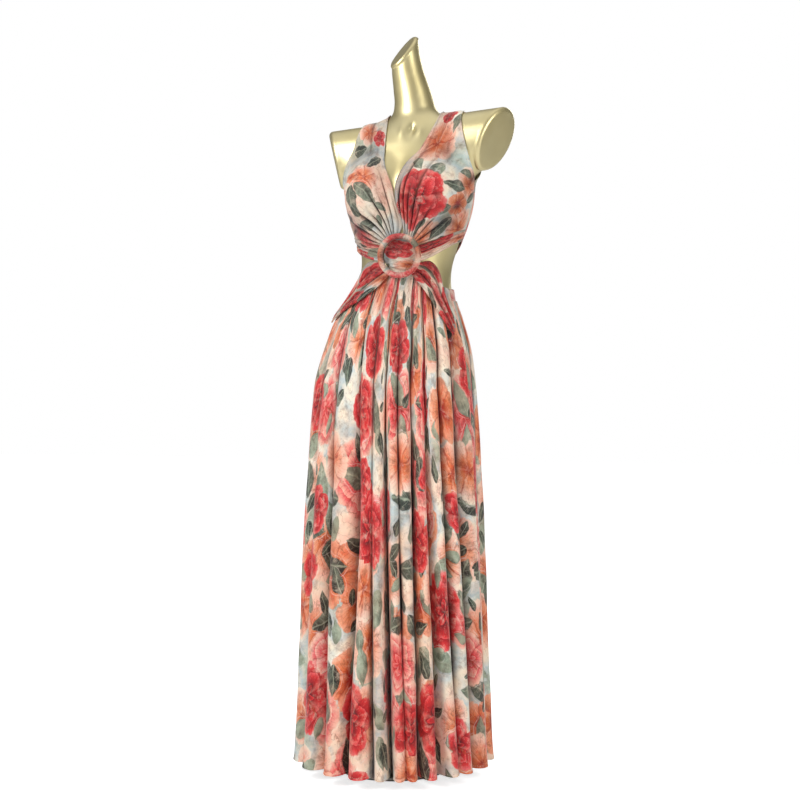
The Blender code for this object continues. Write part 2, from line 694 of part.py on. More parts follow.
def fan(near, far, first, last, out_shares, bulge):
    """Guide points from a near edge to a far edge, between two lines that are given."""
    grid = near[None] + (far - near)[None] * out_shares[:, None, None]
    swell = 4 * out_shares * (1 - out_shares)
    grid = grid + swell[:, None, None] * bulge
    across = np.linspace(0, 1, near.shape[0])[None, :, None]
    first_shift = (first - grid[:, 0])[:, None]
    last_shift = (last - grid[:, -1])[:, None]
    return grid + (1 - across) ** 2 * first_shift + across**2 * last_shift


def side_point(side, z):
    """Where the side of the trunk is at a height."""
    return (
        float(smooth_table(z, TRUNK, 1) + side * (smooth_table(z, TRUNK, 2) + LIFT)),
        z,
    )


def under_line(side, start, end, out):
    """The line on the form from the ring out under the bust to the side seam."""
    straight = start + (end - start) * out[:, None]
    swell = (4 * out * (1 - out))[:, None] * np.array([side * 0.024, -0.014, 0])
    return onto_form(straight + swell, LIFT)


def build_cup(side):
    """A front with its shoulder strap, from the ring to the shoulder, arm and side."""
    name = "cup_left" if side > 0 else "cup_right"
    columns = np.linspace(0, 1, 17)
    out = np.linspace(0, 1, 13)
    leaves = CUP_LEAVES[0] + (CUP_LEAVES[1] - CUP_LEAVES[0]) * columns
    near = round_ring(leaves if side > 0 else 180 - leaves, GATHER_RADIUS)
    shoulder_in = SHOULDER_IN_LEFT if side > 0 else SHOULDER_IN_RIGHT
    armhole = ARMHOLE_LEFT if side > 0 else ARMHOLE_RIGHT
    low = side_point(side, SIDE_LOW[side])
    far = far_edge(columns, shoulder_in, round_arm(armhole), low, -SEAM_GAP)
    table = NECK_EDGE_LEFT if side > 0 else NECK_EDGE_RIGHT
    forward = [(1.10, -0.100), (1.20, -0.100), (1.26, -0.092), (1.30, -0.075), (1.365, -0.045)]
    neck = [near[0]] + [(x, float(smooth_table(z, forward)), z) for z, x in table] + [far[0]]
    first = along(onto_form(neck, LIFT), out)
    last = under_line(side, near[-1], far[-1], out)
    bulge = np.stack((side * 0.022 * columns, -0.070 + 0.058 * columns, 0 * columns), axis=-1)
    guides = fan(near, far, first, last, out, bulge)
    grid_out, grid_s = np.meshgrid(out, columns, indexing="ij")
    strength = np.exp(-(((grid_out - 0.16) / 0.24) ** 2)) * np.sin(math.pi * grid_s) ** 0.5
    folds = 0.5 - 0.5 * np.cos(2 * math.pi * 4.5 * grid_s**0.85)
    lift = LIFT + CUP_GATHER * strength * folds
    wall_on_form(name, guides, lift, SAGE if side < 0 else PEACH)


def build_back(side):
    """Half of the back, from the waist to the shoulder, arm and side seam."""
    name = "back_left" if side > 0 else "back_right"
    columns = np.linspace(0, 1, 13)
    out = np.linspace(0, 1, 14)
    angles = 180 - side * BACK_WAIST_HALF * columns
    start = waist_height(angles) + 2 * SEAM_GAP
    near = onto_form(hoop_point(angles, start), LIFT, level=True)
    near[0, 0] = smooth_table(near[0, 2], TRUNK) + side * SEAM_GAP
    shoulder_in = SHOULDER_IN_LEFT if side > 0 else SHOULDER_IN_RIGHT
    front_armhole = ARMHOLE_LEFT if side > 0 else ARMHOLE_RIGHT
    # The back of the armhole mirrors its front about the shoulder seam.
    armhole = np.array(front_armhole)
    armhole[:-1, 1] = 2 * armhole[0, 1] - armhole[:-1, 1]
    low = side_point(side, BAND_LOW[side])
    far = far_edge(columns, shoulder_in, round_arm(armhole), low, SEAM_GAP)
    neck = [near[0]]
    for z, open_half in BACK_NECK:
        middle = float(smooth_table(z, TRUNK))
        neck.append((middle + side * (open_half + SEAM_GAP), 0.09, z))
    neck = np.array(neck + [far[0]])
    laid = onto_form(neck, LIFT)
    laid[:7, 0] = neck[:7, 0]
    first = along(laid, out)
    cut_out = [near[-1]]
    for angle, drop in BACK_CUT_OUT:
        z = far[-1, 2] - drop
        cut_out.append(hoop_point(side * angle, z))
    last = along(onto_form(cut_out + [far[-1]], LIFT, level=True), out)
    bulge = np.stack((side * 0.022 * columns, 0.055 - 0.043 * columns, 0 * columns), axis=-1)
    guides = fan(near, far, first, last, out, bulge)
    wall_on_form(name, guides, BACK_LIFT, PEACH)


def build_under_band(side):
    """A pleated band from the ring out under the bust to the side seam."""
    name = "under_band_left" if side > 0 else "under_band_right"
    columns = np.array([0, 0.14, 0.27, 0.40, 0.46, 0.60, 0.75, 0.92, 1])
    out = np.linspace(0, 1, 10)
    leaves = UNDER_BAND_LEAVES[0] + (UNDER_BAND_LEAVES[1] - UNDER_BAND_LEAVES[0]) * columns
    near = round_ring(leaves if side > 0 else 180 - leaves, GATHER_RADIUS)
    high = SIDE_LOW[side] - 3 * SEAM_GAP
    heights = high + (BAND_LOW[side] - high) * columns
    far = np.array([(side_point(side, z)[0], -SEAM_GAP, z) for z in heights])
    first = under_line(side, near[0], far[0], out)
    last = under_line(side, near[-1], far[-1], out)
    share = columns[None, :, None]
    guides = first[:, None] * (1 - share) + last[:, None] * share
    guides = guides + ((1 - out) ** 3)[:, None, None] * (near - guides[0])
    grid_out, grid_s = np.meshgrid(out, columns, indexing="ij")
    lift = LIFT + UNDER_PLEAT * (1 - 0.35 * grid_out) * tucks(grid_s, UNDER_TUCKS)
    wall_on_form(name, guides, lift, CORAL)


def tucks(share, edges):
    """Rounded tucks across a band, each one dropping sharply at its lower edge."""
    shape = np.zeros_like(share)
    for start, end in zip(edges[:-1], edges[1:]):
        part = (share - start) / (end - start)
        inside = (part >= 0) & (part <= 1)
        rise = np.sin(np.clip(part / 0.72, 0, 1) * math.pi / 2)
        fall = np.sqrt(np.clip((1 - part) / 0.28, 0, 1))
        shape = np.where(inside, rise * fall, shape)
    return shape


# ------------------------------------------------------------------ hips and skirt
def build_hip_band(side):
    """A pleated band from the ring down over the hip, lying on the skirt's top."""
    name = "hip_band_left" if side > 0 else "hip_band_right"
    high = HIP_BAND_LEFT_HIGH if side > 0 else HIP_BAND_RIGHT_HIGH
    low = HIP_BAND_LEFT_LOW if side > 0 else HIP_BAND_RIGHT_LOW
    columns = np.array([0, 0.12, 0.25, 0.31, 0.35, 0.47, 0.60, 0.65, 0.69, 0.82, 0.95, 1])
    out = np.linspace(0, 1, 13)
    near = round_ring(np.array(HIP_BAND_LEAVES if side > 0 else (204, 242)), GATHER_RADIUS)
    edges = []
    for start, table in zip(near, (high, low)):
        middle = float(smooth_table(start[2], SKIRT, 1))
        angle = math.degrees(math.atan2(start[0] - middle, -start[1]))
        line = [(angle, start[2], 0)] + [(a, z, 0) for a, z in table]
        # A degree counts as much as 2 mm of height along the line.
        scaled = np.array(line, float) * (0.002, 1, 1)
        edges.append(along(scaled, out) / (0.002, 1, 1))
    grid = edges[0][:, None] + (edges[1] - edges[0])[:, None] * columns[None, :, None]
    angle, z = grid[..., 0], grid[..., 1]
    grid_out, grid_s = np.meshgrid(out, columns, indexing="ij")
    # Behind the ring the band is pressed flat against the skirt.
    free = smooth_table(grid_out, [(0, 0.20), (0.16, 0.85), (0.30, 1.0), (0.7, 0.9), (1, 0.45)])
    lift = 0.0020 + PLEAT_DEPTH * free * tucks(grid_s, HIP_TUCKS)
    inner = hoop_point(angle, z, lift)
    outer = hoop_point(angle, z, lift + WALL)
    add_wall(name, outer, inner, CORAL)


def waist_height(angle):
    """The skirt's upper edge at an angle."""
    return smooth_table((angle + 180) % 360 - 180, WAIST_LINE)


def build_back_band():
    """The plain band round the back that carries the skirt between its side seams."""
    first = valley_angle(LEFT_SEAM - 1, 0, 0.5)
    last = valley_angle(len(VALLEYS) - 1, 0, 0.5)
    angles = np.linspace(first + 0.2, last - 0.2, 25)[None]
    rows = np.array([1.0, 0.5, 0.0])[:, None]
    z = waist_height(angles) - BACK_BAND_HEIGHT * (1 - rows)
    inner = onto_form(hoop_point(angles + 0 * z, z), LIFT, level=True)
    outer = onto_form(inner, LIFT + WALL, level=True)
    add_wall("back_waistband", outer, inner, CORAL)


def build_skirt():
    """The gathered front and back of the skirt, in folds from the waist to the hem."""
    for name, first, last, look, drop in (
        ("skirt_front", 0, LEFT_SEAM, PEACH, 0.0),
        ("skirt_back", LEFT_SEAM, len(VALLEYS), SAGE, BACK_BAND_HEIGHT + 4 * SEAM_GAP),
    ):
        middle = skirt_surface(skirt_columns(first, last), SKIRT_ROWS, drop)
        # The two side edges stand just short of the seam.
        for column, inward in ((0, 1), (-1, -1)):
            beside = middle[:, column + inward] - middle[:, column]
            beside /= np.linalg.norm(beside, axis=-1)[:, None]
            middle[:, column] += beside * SEAM_GAP
        outward = middle * (1, 1, 0)
        wall_from_middle(name, middle, outward, look)


def main():
    """Clear the scene and build every piece."""
    for old in list(bpy.data.objects):
        bpy.data.objects.remove(old)
    build_form()
    build_ring()
    for side in (1, -1):
        build_cup(side)
        build_back(side)
        build_under_band(side)
        build_hip_band(side)
    build_back_band()
    build_skirt()


main()
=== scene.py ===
"""A printed maxi dress on a limbless dress form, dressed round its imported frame.

Metres, +Z up. The dress faces -Y and its left side is +X. The floor is z = 0.
Angles round the skirt are degrees from the front (-Y) towards the left (+X).
"""

import math
from collections import namedtuple
from functools import cache, wraps

import bmesh
import bpy
import numpy as np
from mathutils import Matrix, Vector


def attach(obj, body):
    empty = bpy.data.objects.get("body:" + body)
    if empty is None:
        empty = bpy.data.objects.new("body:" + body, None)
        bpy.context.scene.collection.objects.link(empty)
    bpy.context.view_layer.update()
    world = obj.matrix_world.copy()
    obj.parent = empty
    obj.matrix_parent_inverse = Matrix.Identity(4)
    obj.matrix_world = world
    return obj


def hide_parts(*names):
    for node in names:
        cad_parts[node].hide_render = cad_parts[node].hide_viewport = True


bl_info = {
    "name": "Maxi dress on a dress form",
    "version": (1, 0, 0),
    "blender": (4, 5, 0),
    "location": "3D View > Sidebar > Dress",
    "description": "Sews a printed, draped maxi dress over a gold dress form",
    "category": "Object",
}

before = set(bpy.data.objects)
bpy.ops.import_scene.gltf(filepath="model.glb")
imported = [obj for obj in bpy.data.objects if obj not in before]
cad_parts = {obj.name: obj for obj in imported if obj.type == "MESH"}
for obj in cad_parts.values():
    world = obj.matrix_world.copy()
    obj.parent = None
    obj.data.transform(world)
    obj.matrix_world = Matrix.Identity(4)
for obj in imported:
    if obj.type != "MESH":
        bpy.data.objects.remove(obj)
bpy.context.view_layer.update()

# Where a table or a shape has two sides, 1 is the left one and -1 the right one.
SIDES = ((1, "left"), (-1, "right"))

# ------------------------------------------------------------------ driving sizes
WALL = 0.0015                 # cloth of the frame's solids
LIFT = 0.0045                 # their cloth above the form
CLEAR = 0.0004                # more lift for sewn cloth, and the gap round the steel
LEAST_LIFT = 0.0016           # no crease of the bodice lies closer to the form
SHIFT_X = -0.0180             # middle of the body to the middle of the outline

HEM_Z = 0.022
BUST_Z = 1.215
FORM_BOTTOM_Z = 0.742

RING_MIDDLE = (0.045, 1.076)
RING_RADIUS = 0.0400
RING_TUBE = 0.0060
RING_STAND_OFF = 0.0185
RING_START = -75              # where the ends of the ring's cover meet, low on the ring
RING_PUCKER = 0.00022
GATHER_RADIUS = 0.0375
DRAPE_RADIUS = 0.0350
DRAPE_LIFT = 0.0030           # more lift for the cloth drawn through the ring
DRAPE_SWELL = 0.0050
DRAPE_PLEATS = (0.0016, 0.0008)

POLE_RADIUS = 0.0125
POLE_FLANGE_RADIUS = 0.032
POLE_FLANGE = 0.005
POLE_EDGE = 0.0012
BASE_RADIUS = 0.118
BASE_THICK = 0.008
BASE_EDGE = 0.002

# ------------------------------------------------------------------ tables
Section = namedtuple("Section", "z middle half_width front back set_back")
Hoop = namedtuple("Hoop", "z middle half_width front back")
MIDDLE, HALF_WIDTH, FRONT, BACK, SET_BACK = range(1, 6)     # columns of their tables
TRUNK = [Section(*row) for row in (
    (0.700, 0.000, 0.140, 0.100, 0.105, 0.000), (0.760, 0.000, 0.149, 0.105, 0.114, 0.000),
    (0.820, 0.001, 0.152, 0.107, 0.119, 0.000), (0.880, 0.004, 0.147, 0.105, 0.118, 0.000),
    (0.940, 0.010, 0.130, 0.098, 0.108, 0.000), (1.000, 0.019, 0.108, 0.088, 0.091, 0.000),
    (1.050, 0.028, 0.0975, 0.081, 0.078, 0.000),
    (1.100, 0.0345, 0.1045, 0.083, 0.079, 0.000),
    (1.140, 0.036, 0.119, 0.088, 0.085, 0.000), (1.180, 0.036, 0.131, 0.093, 0.091, 0.000),
    (1.230, 0.037, 0.136, 0.092, 0.096, 0.000), (1.270, 0.0395, 0.135, 0.085, 0.096, 0.000),
    (1.310, 0.043, 0.116, 0.072, 0.086, 0.002), (1.345, 0.046, 0.077, 0.057, 0.068, 0.006),
    (1.375, 0.0465, 0.0535, 0.047, 0.053, 0.010),
    (1.405, 0.0450, 0.0440, 0.043, 0.045, 0.010),
    (1.440, 0.039, 0.0395, 0.039, 0.040, 0.008), (1.480, 0.031, 0.034, 0.035, 0.036, 0.004),
    (1.520, 0.0275, 0.029, 0.032, 0.033, 0.002),
    (1.600, 0.026, 0.0235, 0.029, 0.030, 0.002),
)]
BUST_CENTRE = (0.058, -0.066)
BUST_RADII = (0.056, 0.052, 0.060)
BUST_FILLET = 0.034
BOTTOM_FILLET = 0.030
SHOULDER_MIDDLE = (0.0510, 0.004, 1.312)
SHOULDER_ROLL = 0.075
SHOULDER_RADII = (0.053, 0.062)
SHOULDER_FILLET = 0.028
ARM_CUT_OUT = {1: 0.1785, -1: 0.1865}
ARM_CUT_NORMALS = {1: (0.865, -0.320, -0.340), -1: (-0.915, -0.320, -0.215)}
NECK_CUT_POINT = (0.022, 0.003, 1.527)
NECK_CUT_NORMAL = (-0.540, -0.570, 0.620)
CUT_SPARE = 0.020             # skin beyond the cuts before they are made
CUT_EDGES = (0.0080, 0.0095, 0.0095)    # how round they are: neck, left arm, right arm
CUT_REACH = 0.100             # how far from its point a cut takes hold
CUT_STEPS = 5                 # steps of a cut's rounded edge
THROAT = (0.057, 1.341)       # across and up: the small hollow at the foot of the neck
THROAT_WIDTH, THROAT_HEIGHT, THROAT_DEPTH = 0.0080, 0.0150, 0.0070
COLLARBONES = (2.6, 0.30)     # how far out beside it, in its widths, and how high
# The form's skin is found along rays: the height on the middle line that a row of them
# starts from, how it climbs in degrees and how far it leans with the neck's cut.
FORM_ROWS = [
    (0.82, -78, 0), (0.82, -56, 0), (0.82, -40, 0), (0.82, -29, 0), (0.82, -14, 0),
    (0.83, 0, 0), (0.89, 0, 0), (0.94, 0, 0), (0.98, 0, 0), (1.015, 0, 0), (1.05, 0, 0),
    (1.085, 0, 0), (1.12, 0, 0), (1.155, 0, 0), (1.185, 0, 0), (1.208, 0, 0), (1.224, 0, 0),
    (1.236, 0, 0), (1.246, 0.4, 0), (1.257, 1, 0), (1.262, 1.7, 0), (1.267, 2.6, 0),
    (1.273, 4.3, 0), (1.282, 7.5, 0), (1.289, 11.5, 0), (1.294, 16, 0), (1.297, 18.5, 0),
    (1.300, 22, 0), (1.305, 28, 0), (1.310, 32, 0), (1.316, 37, 0), (1.323, 41, 0),
    (1.333, 45, 0), (1.36, 46, 0.1), (1.392, 36, 0.25), (1.420, 22, 0.5), (1.450, 10, 0.75),
    (1.478, 3, 0.92), (1.502, 0, 1), (1.528, 0, 1),
]
FORM_COLUMNS = 224
FORM_ROWS_BETWEEN = 6
FORM_SIDE_FOCUS = 0.55        # how much closer the columns are at the sides
RAY_REACH, RAY_STEP, RAY_HALVINGS = 0.32, 0.004, 16
SKIRT = [Hoop(*row) for row in (
    (0.022, 0.0000, 0.2145, 0.207, 0.207), (0.056, 0.0000, 0.2120, 0.203, 0.203),
    (0.184, 0.0000, 0.2070, 0.195, 0.196), (0.375, 0.0000, 0.2010, 0.180, 0.184),
    (0.567, 0.0000, 0.1930, 0.163, 0.171), (0.695, 0.0005, 0.1855, 0.149, 0.160),
    (0.759, 0.0010, 0.1810, 0.141, 0.154), (0.823, 0.0022, 0.1750, 0.134, 0.148),
    (0.887, 0.0075, 0.1610, 0.126, 0.138), (0.950, 0.0115, 0.1400, 0.113, 0.121),
    (1.000, 0.0190, 0.1165, 0.0965, 0.0995), (1.050, 0.0280, 0.1048, 0.0878, 0.0860),
    (1.100, 0.0345, 0.1118, 0.0898, 0.0870),
)]
WAIST_LINE = [
    (-180, 1.032), (-150, 1.028), (-120, 1.018), (-98, 1.011), (-86, 1.006), (-75, 0.990),
    (-64, 0.990), (-54, 1.020), (-46, 1.042), (-34, 1.046), (-18, 1.040), (8, 1.037),
    (28, 1.042), (44, 1.050), (57, 1.042), (66, 1.020), (76, 1.012), (84, 1.011),
    (98, 1.012), (120, 1.018), (150, 1.028), (180, 1.032),
]
Valley = namedtuple("Valley", "top middle hem depth_middle depth_hem")
VALLEYS = [Valley(*row) for row in (
    (-77, -76, -74, 0.030, 0.034), (-60, -57, -52, 0.028, 0.026),
    (-42, -37, -31, 0.032, 0.045), (-20, -10, -13, 0.046, 0.040), (-4, 2, 5, 0.014, 0.034),
    (9, 12.5, 17, 0.066, 0.096), (20, 22.5, 25.5, 0.028, 0.014), (31, 33, 34, 0.036, 0.046),
    (42, 45, 48, 0.052, 0.086), (53, 56, 60, 0.034, 0.020), (65, 68, 73, 0.040, 0.046),
    (92, 93, 94, 0.034, 0.052), (106, 108, 109, 0.040, 0.038),
    (121, 122, 125, 0.048, 0.080), (136, 137, 138, 0.030, 0.030),
    (150, 151, 152, 0.038, 0.046), (164, 166, 169, 0.056, 0.088),
    (180, 181, 182, 0.028, 0.024), (195, 196, 198, 0.040, 0.050),
    (210, 211, 212, 0.046, 0.070), (225, 226, 227, 0.030, 0.034),
    (240, 241, 243, 0.042, 0.052), (256, 256, 258, 0.034, 0.044),
    (270, 270, 271, 0.030, 0.036),
)]
GATHER_DEPTH = [(0.80, 0.0145), (0.86, 0.0095), (0.93, 0.0065), (1.00, 0.0045), (1.06, 0.0035)]
FORM_FREE_Z = 0.70            # below here the folds hang free of the form
FOLD_SOFT = 0.07              # how softly a valley's bottom turns, in half folds
LEFT_SEAM = 11
HEM_RISE = 0.006
BACK_BAND_HEIGHT = 0.024

NECK_EDGE = {
    1: [(1.140, 0.0505), (1.160, 0.0442), (1.180, 0.0400), (1.205, 0.0382), (1.230, 0.0430),
        (1.261, 0.0590), (1.290, 0.0790), (1.330, 0.0965), (1.365, 0.1080)],
    -1: [(1.140, 0.0495), (1.160, 0.0432), (1.180, 0.0386), (1.215, 0.0310), (1.252, 0.0140),
         (1.290, 0.0070), (1.330, 0.0030), (1.365, -0.0030)],
}
NECK_FORWARD = [
    (1.10, -0.100), (1.20, -0.100), (1.26, -0.092), (1.30, -0.075), (1.365, -0.045),
]
ARMHOLE = {
    1: [(0.160, 0.006, 1.400), (0.162, -0.030, 1.355), (0.172, -0.050, 1.315),
        (0.180, -0.036, 1.282), (0.181, 0.000, 1.254)],
    -1: [(-0.058, 0.006, 1.392), (-0.063, -0.032, 1.348), (-0.071, -0.052, 1.310),
         (-0.094, -0.040, 1.272), (-0.106, 0.000, 1.246)],
}
SHOULDER_IN = {1: (0.112, 0.006, 1.396), -1: (-0.0080, 0.006, 1.388)}
SHOULDER_SHARE = 0.30         # of a piece's far edge: up to here the shoulder seam,
ARMHOLE_SHARE = 0.74          # up to here the armhole, and then the side seam

# Between which angles round the ring the pieces leave it, and where they end at the sides.
CUP_LEAVES = (79, 36)
UNDER_BAND_LEAVES = (33, -20)
HIP_BAND_LEAVES = {1: (-24, -62), -1: (204, 242)}
SIDE_LOW = {1: 1.138, -1: 1.132}
BAND_LOW = {1: 1.113, -1: 1.101}

HIP_BAND_HIGH = {
    1: [(47, 1.066), (60, 1.047), (67, 1.010), (71, 0.970), (72.5, 0.935)],
    -1: [(-38, 1.068), (-49, 1.054), (-57, 1.014), (-65, 0.982), (-72, 0.962)],
}
HIP_BAND_LOW = {
    1: [(41, 1.010), (49, 0.990), (55, 0.967), (61, 0.943), (68, 0.912)],
    -1: [(-15, 1.014), (-32, 0.990), (-46, 0.974), (-58, 0.960), (-70, 0.944)],
}
HIP_BAND_LIFT = 0.0026        # above the skirt, before the tucks rise
HIP_BAND_FREE = [(0, 0.20), (0.16, 0.85), (0.30, 1.0), (0.7, 0.9), (1, 0.45)]
DEGREE_AS_LENGTH = (0.002, 1, 1)
PLEAT_DEPTH = 0.0055
HIP_TUCKS = (0, 0.33, 0.67, 1.0)
HIP_FINE, UNDER_FINE = 0.0006, 0.0008     # finest pleats of the bands
UNDER_PLEAT = 0.0032
UNDER_TUCKS = (0, 0.43, 1.0)
TUCK_CREST = 0.72             # how far across a tuck its crest is

SIDE_BULGE = 0.022            # the guides bulge out to the side, towards the far column,
CUP_BULGE = (-0.070, 0.058)   # and forward or back: at the first column and its change
BACK_BULGE = (0.055, -0.043)
UNDER_BULGE = (0.024, -0.014, 0)

BACK_WAIST_HALF = 40
BACK_LIFT = 0.0047
WAISTBAND_LIFT, WAISTBAND_EASE = 0.0006, 0.0003
BACK_NECK = [
    (1.08, 0), (1.13, 0), (1.155, 0.0003), (1.18, 0.0015), (1.205, 0.004), (1.23, 0.008),
    (1.29, 0.025), (1.35, 0.042),
]
BACK_SEAM_POINTS = 7          # the points of BACK_NECK's edge that stay on the middle seam
BACK_CUT_OUT = [(131, 0.058), (122, 0.036), (112, 0.017), (101, 0.005)]

SEAM = 0.0001                 # the sewn pieces meet within this of a seam
CUP_SWELL = 0.0050            # how full the fronts stand beside the ring
CUP_GATHERED = 0.20           # flat width of a front where it is gathered into the ring
CUP_MESH, BACK_MESH = (96, 88), (96, 72)
UNDER_BAND_MESH, HIP_BAND_MESH = (84, 72), (96, 84)
RING_MESH, DRAPE_MESH = (25, 177), 72
WAISTBAND_MESH = (13, 220)
FOLD_COLUMNS = 24             # columns of cloth to each fold of the skirt
FOLD_PROBES = 120             # places in each fold that are tried for the columns
SKIRT_ROWS = np.concatenate((np.linspace(0, 0.996, 132), [0.9973, 0.9986, 1.0]))
WIDTH_ROW = -12               # the row near the hem that the skirt's width is read on
FULLNESS = 1.3                # cloth the skirt's finest gathers take up, to what shows
GATHER_PITCH = 0.034
SMALL_WAVE = 0.0012
# Sets of waves down the skirt: the chance that starts one, how long and short they are.
Waves = namedtuple("Waves", "chance long short count")
GATHER_WAVES = Waves(11, 0.50, 0.026, 6)
DRAPE_WAVES = Waves(3, 0.42, 0.075, 7)
SMALL_WAVES = Waves(29, 0.16, 0.040, 7)
# For the painted shade in the folds: how far to both sides a fold is seen, in columns, and how
# deep a full one is.
BODICE_FOLD_SHADE, SKIRT_FOLD_SHADE = (9, 0.0100), (13, 0.0078)

STITCH_PITCH, STITCH_LENGTH, THREAD = 0.0036, 0.0025, 0.00034
STITCH_INSET = 0.0009         # from the rolled hem to the row of stitches
STITCH_GIRTH = (0.35, 0.9, 1.0, 0.9, 0.35)      # of the thread's, from end to end
STITCH_SIDES = 6
STITCH_BEND = 1.35            # how far each half of a stitch dips into the cloth, in radians

# Soft creases across a piece, in shares of its width and of its length from the ring or
# the waist: where each starts and ends, its width and depth in metres and its bow.
Crease = namedtuple("Crease", "across out across_end out_end width depth bow")
CUP_CREASES = [Crease(*row) for row in (
    (0.03, -0.10, 0.10, 0.46, 0.0045, 0.0030, 0.004),
    (0.15, -0.10, 0.17, 0.60, 0.0055, 0.0042, 0.003),
    (0.27, -0.10, 0.25, 0.44, 0.0050, 0.0036, 0.002),
    (0.38, -0.10, 0.35, 0.66, 0.0060, 0.0046, 0.000),
    (0.50, -0.10, 0.45, 0.40, 0.0048, 0.0034, -0.002),
    (0.61, -0.10, 0.57, 0.56, 0.0060, 0.0044, -0.003),
    (0.72, -0.10, 0.70, 0.38, 0.0050, 0.0036, -0.003),
    (0.84, -0.10, 0.83, 0.50, 0.0055, 0.0040, -0.004),
    (0.95, -0.10, 0.95, 0.34, 0.0045, 0.0026, -0.003),
    (0.09, -0.10, 0.12, 0.26, 0.0035, -0.0022, 0.002),
    (0.32, -0.10, 0.30, 0.34, 0.0040, -0.0026, 0.001),
    (0.55, -0.10, 0.51, 0.30, 0.0040, -0.0024, -0.002),
    (0.78, -0.10, 0.77, 0.28, 0.0040, -0.0022, -0.003),
    (0.16, 0.55, 0.03, 0.96, 0.0080, 0.0012, 0.006),
    (0.26, 0.62, 0.15, 1.02, 0.0070, 0.0011, 0.004),
    (0.44, 0.60, 0.52, 0.93, 0.0090, 0.0013, -0.006),
    (0.62, 0.62, 0.76, 0.98, 0.0080, 0.0016, -0.005),
    (0.74, 0.50, 0.92, 1.04, 0.0080, 0.0018, -0.004),
    (0.88, 0.52, 0.99, 0.90, 0.0070, 0.0014, -0.003),
)]
BACK_CREASES = [Crease(*row) for row in (
    (0.05, 0.02, 0.10, 0.34, 0.0080, 0.0013, 0.004),
    (0.30, -0.05, 0.34, 0.30, 0.0090, 0.0015, 0.003),
    (0.62, -0.05, 0.66, 0.26, 0.0080, 0.0014, -0.003),
    (0.12, 0.46, 0.02, 0.86, 0.0080, 0.0012, 0.004),
    (0.34, 0.58, 0.20, 0.97, 0.0085, 0.0014, 0.005),
    (0.58, 0.52, 0.70, 0.92, 0.0090, 0.0015, -0.005),
    (0.80, 0.40, 0.95, 0.90, 0.0080, 0.0014, -0.004),
    (0.48, 0.30, 0.50, 0.62, 0.0100, 0.0010, 0.000),
)]

# The print: each motif's kind, which for a leaf is how dark it is from 0 to 1, its middle
# on the flat cloth, its radius and its turn in degrees.
PEACH, RED, PINK, ORANGE = 0.0, 1.0, 2.0, 3.0
Motif = namedtuple("Motif", "kind u v radius turn")
NO_MOTIF = Motif(PEACH, -9.0, -9.0, 0.05, 0.0)      # far off the cloth
MOTIF_CLEARANCE = 0.60        # of their radii: the repeat's motifs keep off a piece's own
REPEAT = (0.56, 0.62)         # one repeat of the print, across and along
# How one layer of the repeat is strewn: how many motifs, their least and greatest
# radius, the kinds in turn and the chance that starts it.
Strewing = namedtuple("Strewing", "count least most kinds chance")
UNDER_BLOOMS = Strewing(14, 0.066, 0.094, (PEACH, PINK, ORANGE, PEACH, PINK), 4)
LEAVES = Strewing(30, 0.030, 0.048, (0.0, 1.0, 0.0), 9)
OVER_BLOOMS = Strewing(8, 0.052, 0.078, (PEACH, RED, PINK, ORANGE, RED), 21)
SMALL_LEAVES = Strewing(34, 0.018, 0.034, (1.0, 0.0, 1.0), 33)
STREWING_TRIES = 60

# Where each piece starts on the flat cloth.
CUT_FROM = {
    "skirt_panel_front": (0.0, 0.05), "skirt_panel_back": (1.7, 0.05),
    "front_left": (0.30, 0.10), "front_right": (1.30, 0.10), "ring_cover": (0.3, 0.7),
    "back_bodice_left": (2.3, 0.4), "back_bodice_right": (3.1, 0.4),
    "ring_folds": (3.3, 0.35), "waistband_back": (6.4, 0.5),
    "under_bust_band_left": (4.0, 0.2), "under_bust_band_right": (4.6, 0.2),
    "hip_drape_left": (5.2, 0.3), "hip_drape_right": (5.8, 0.3),
}
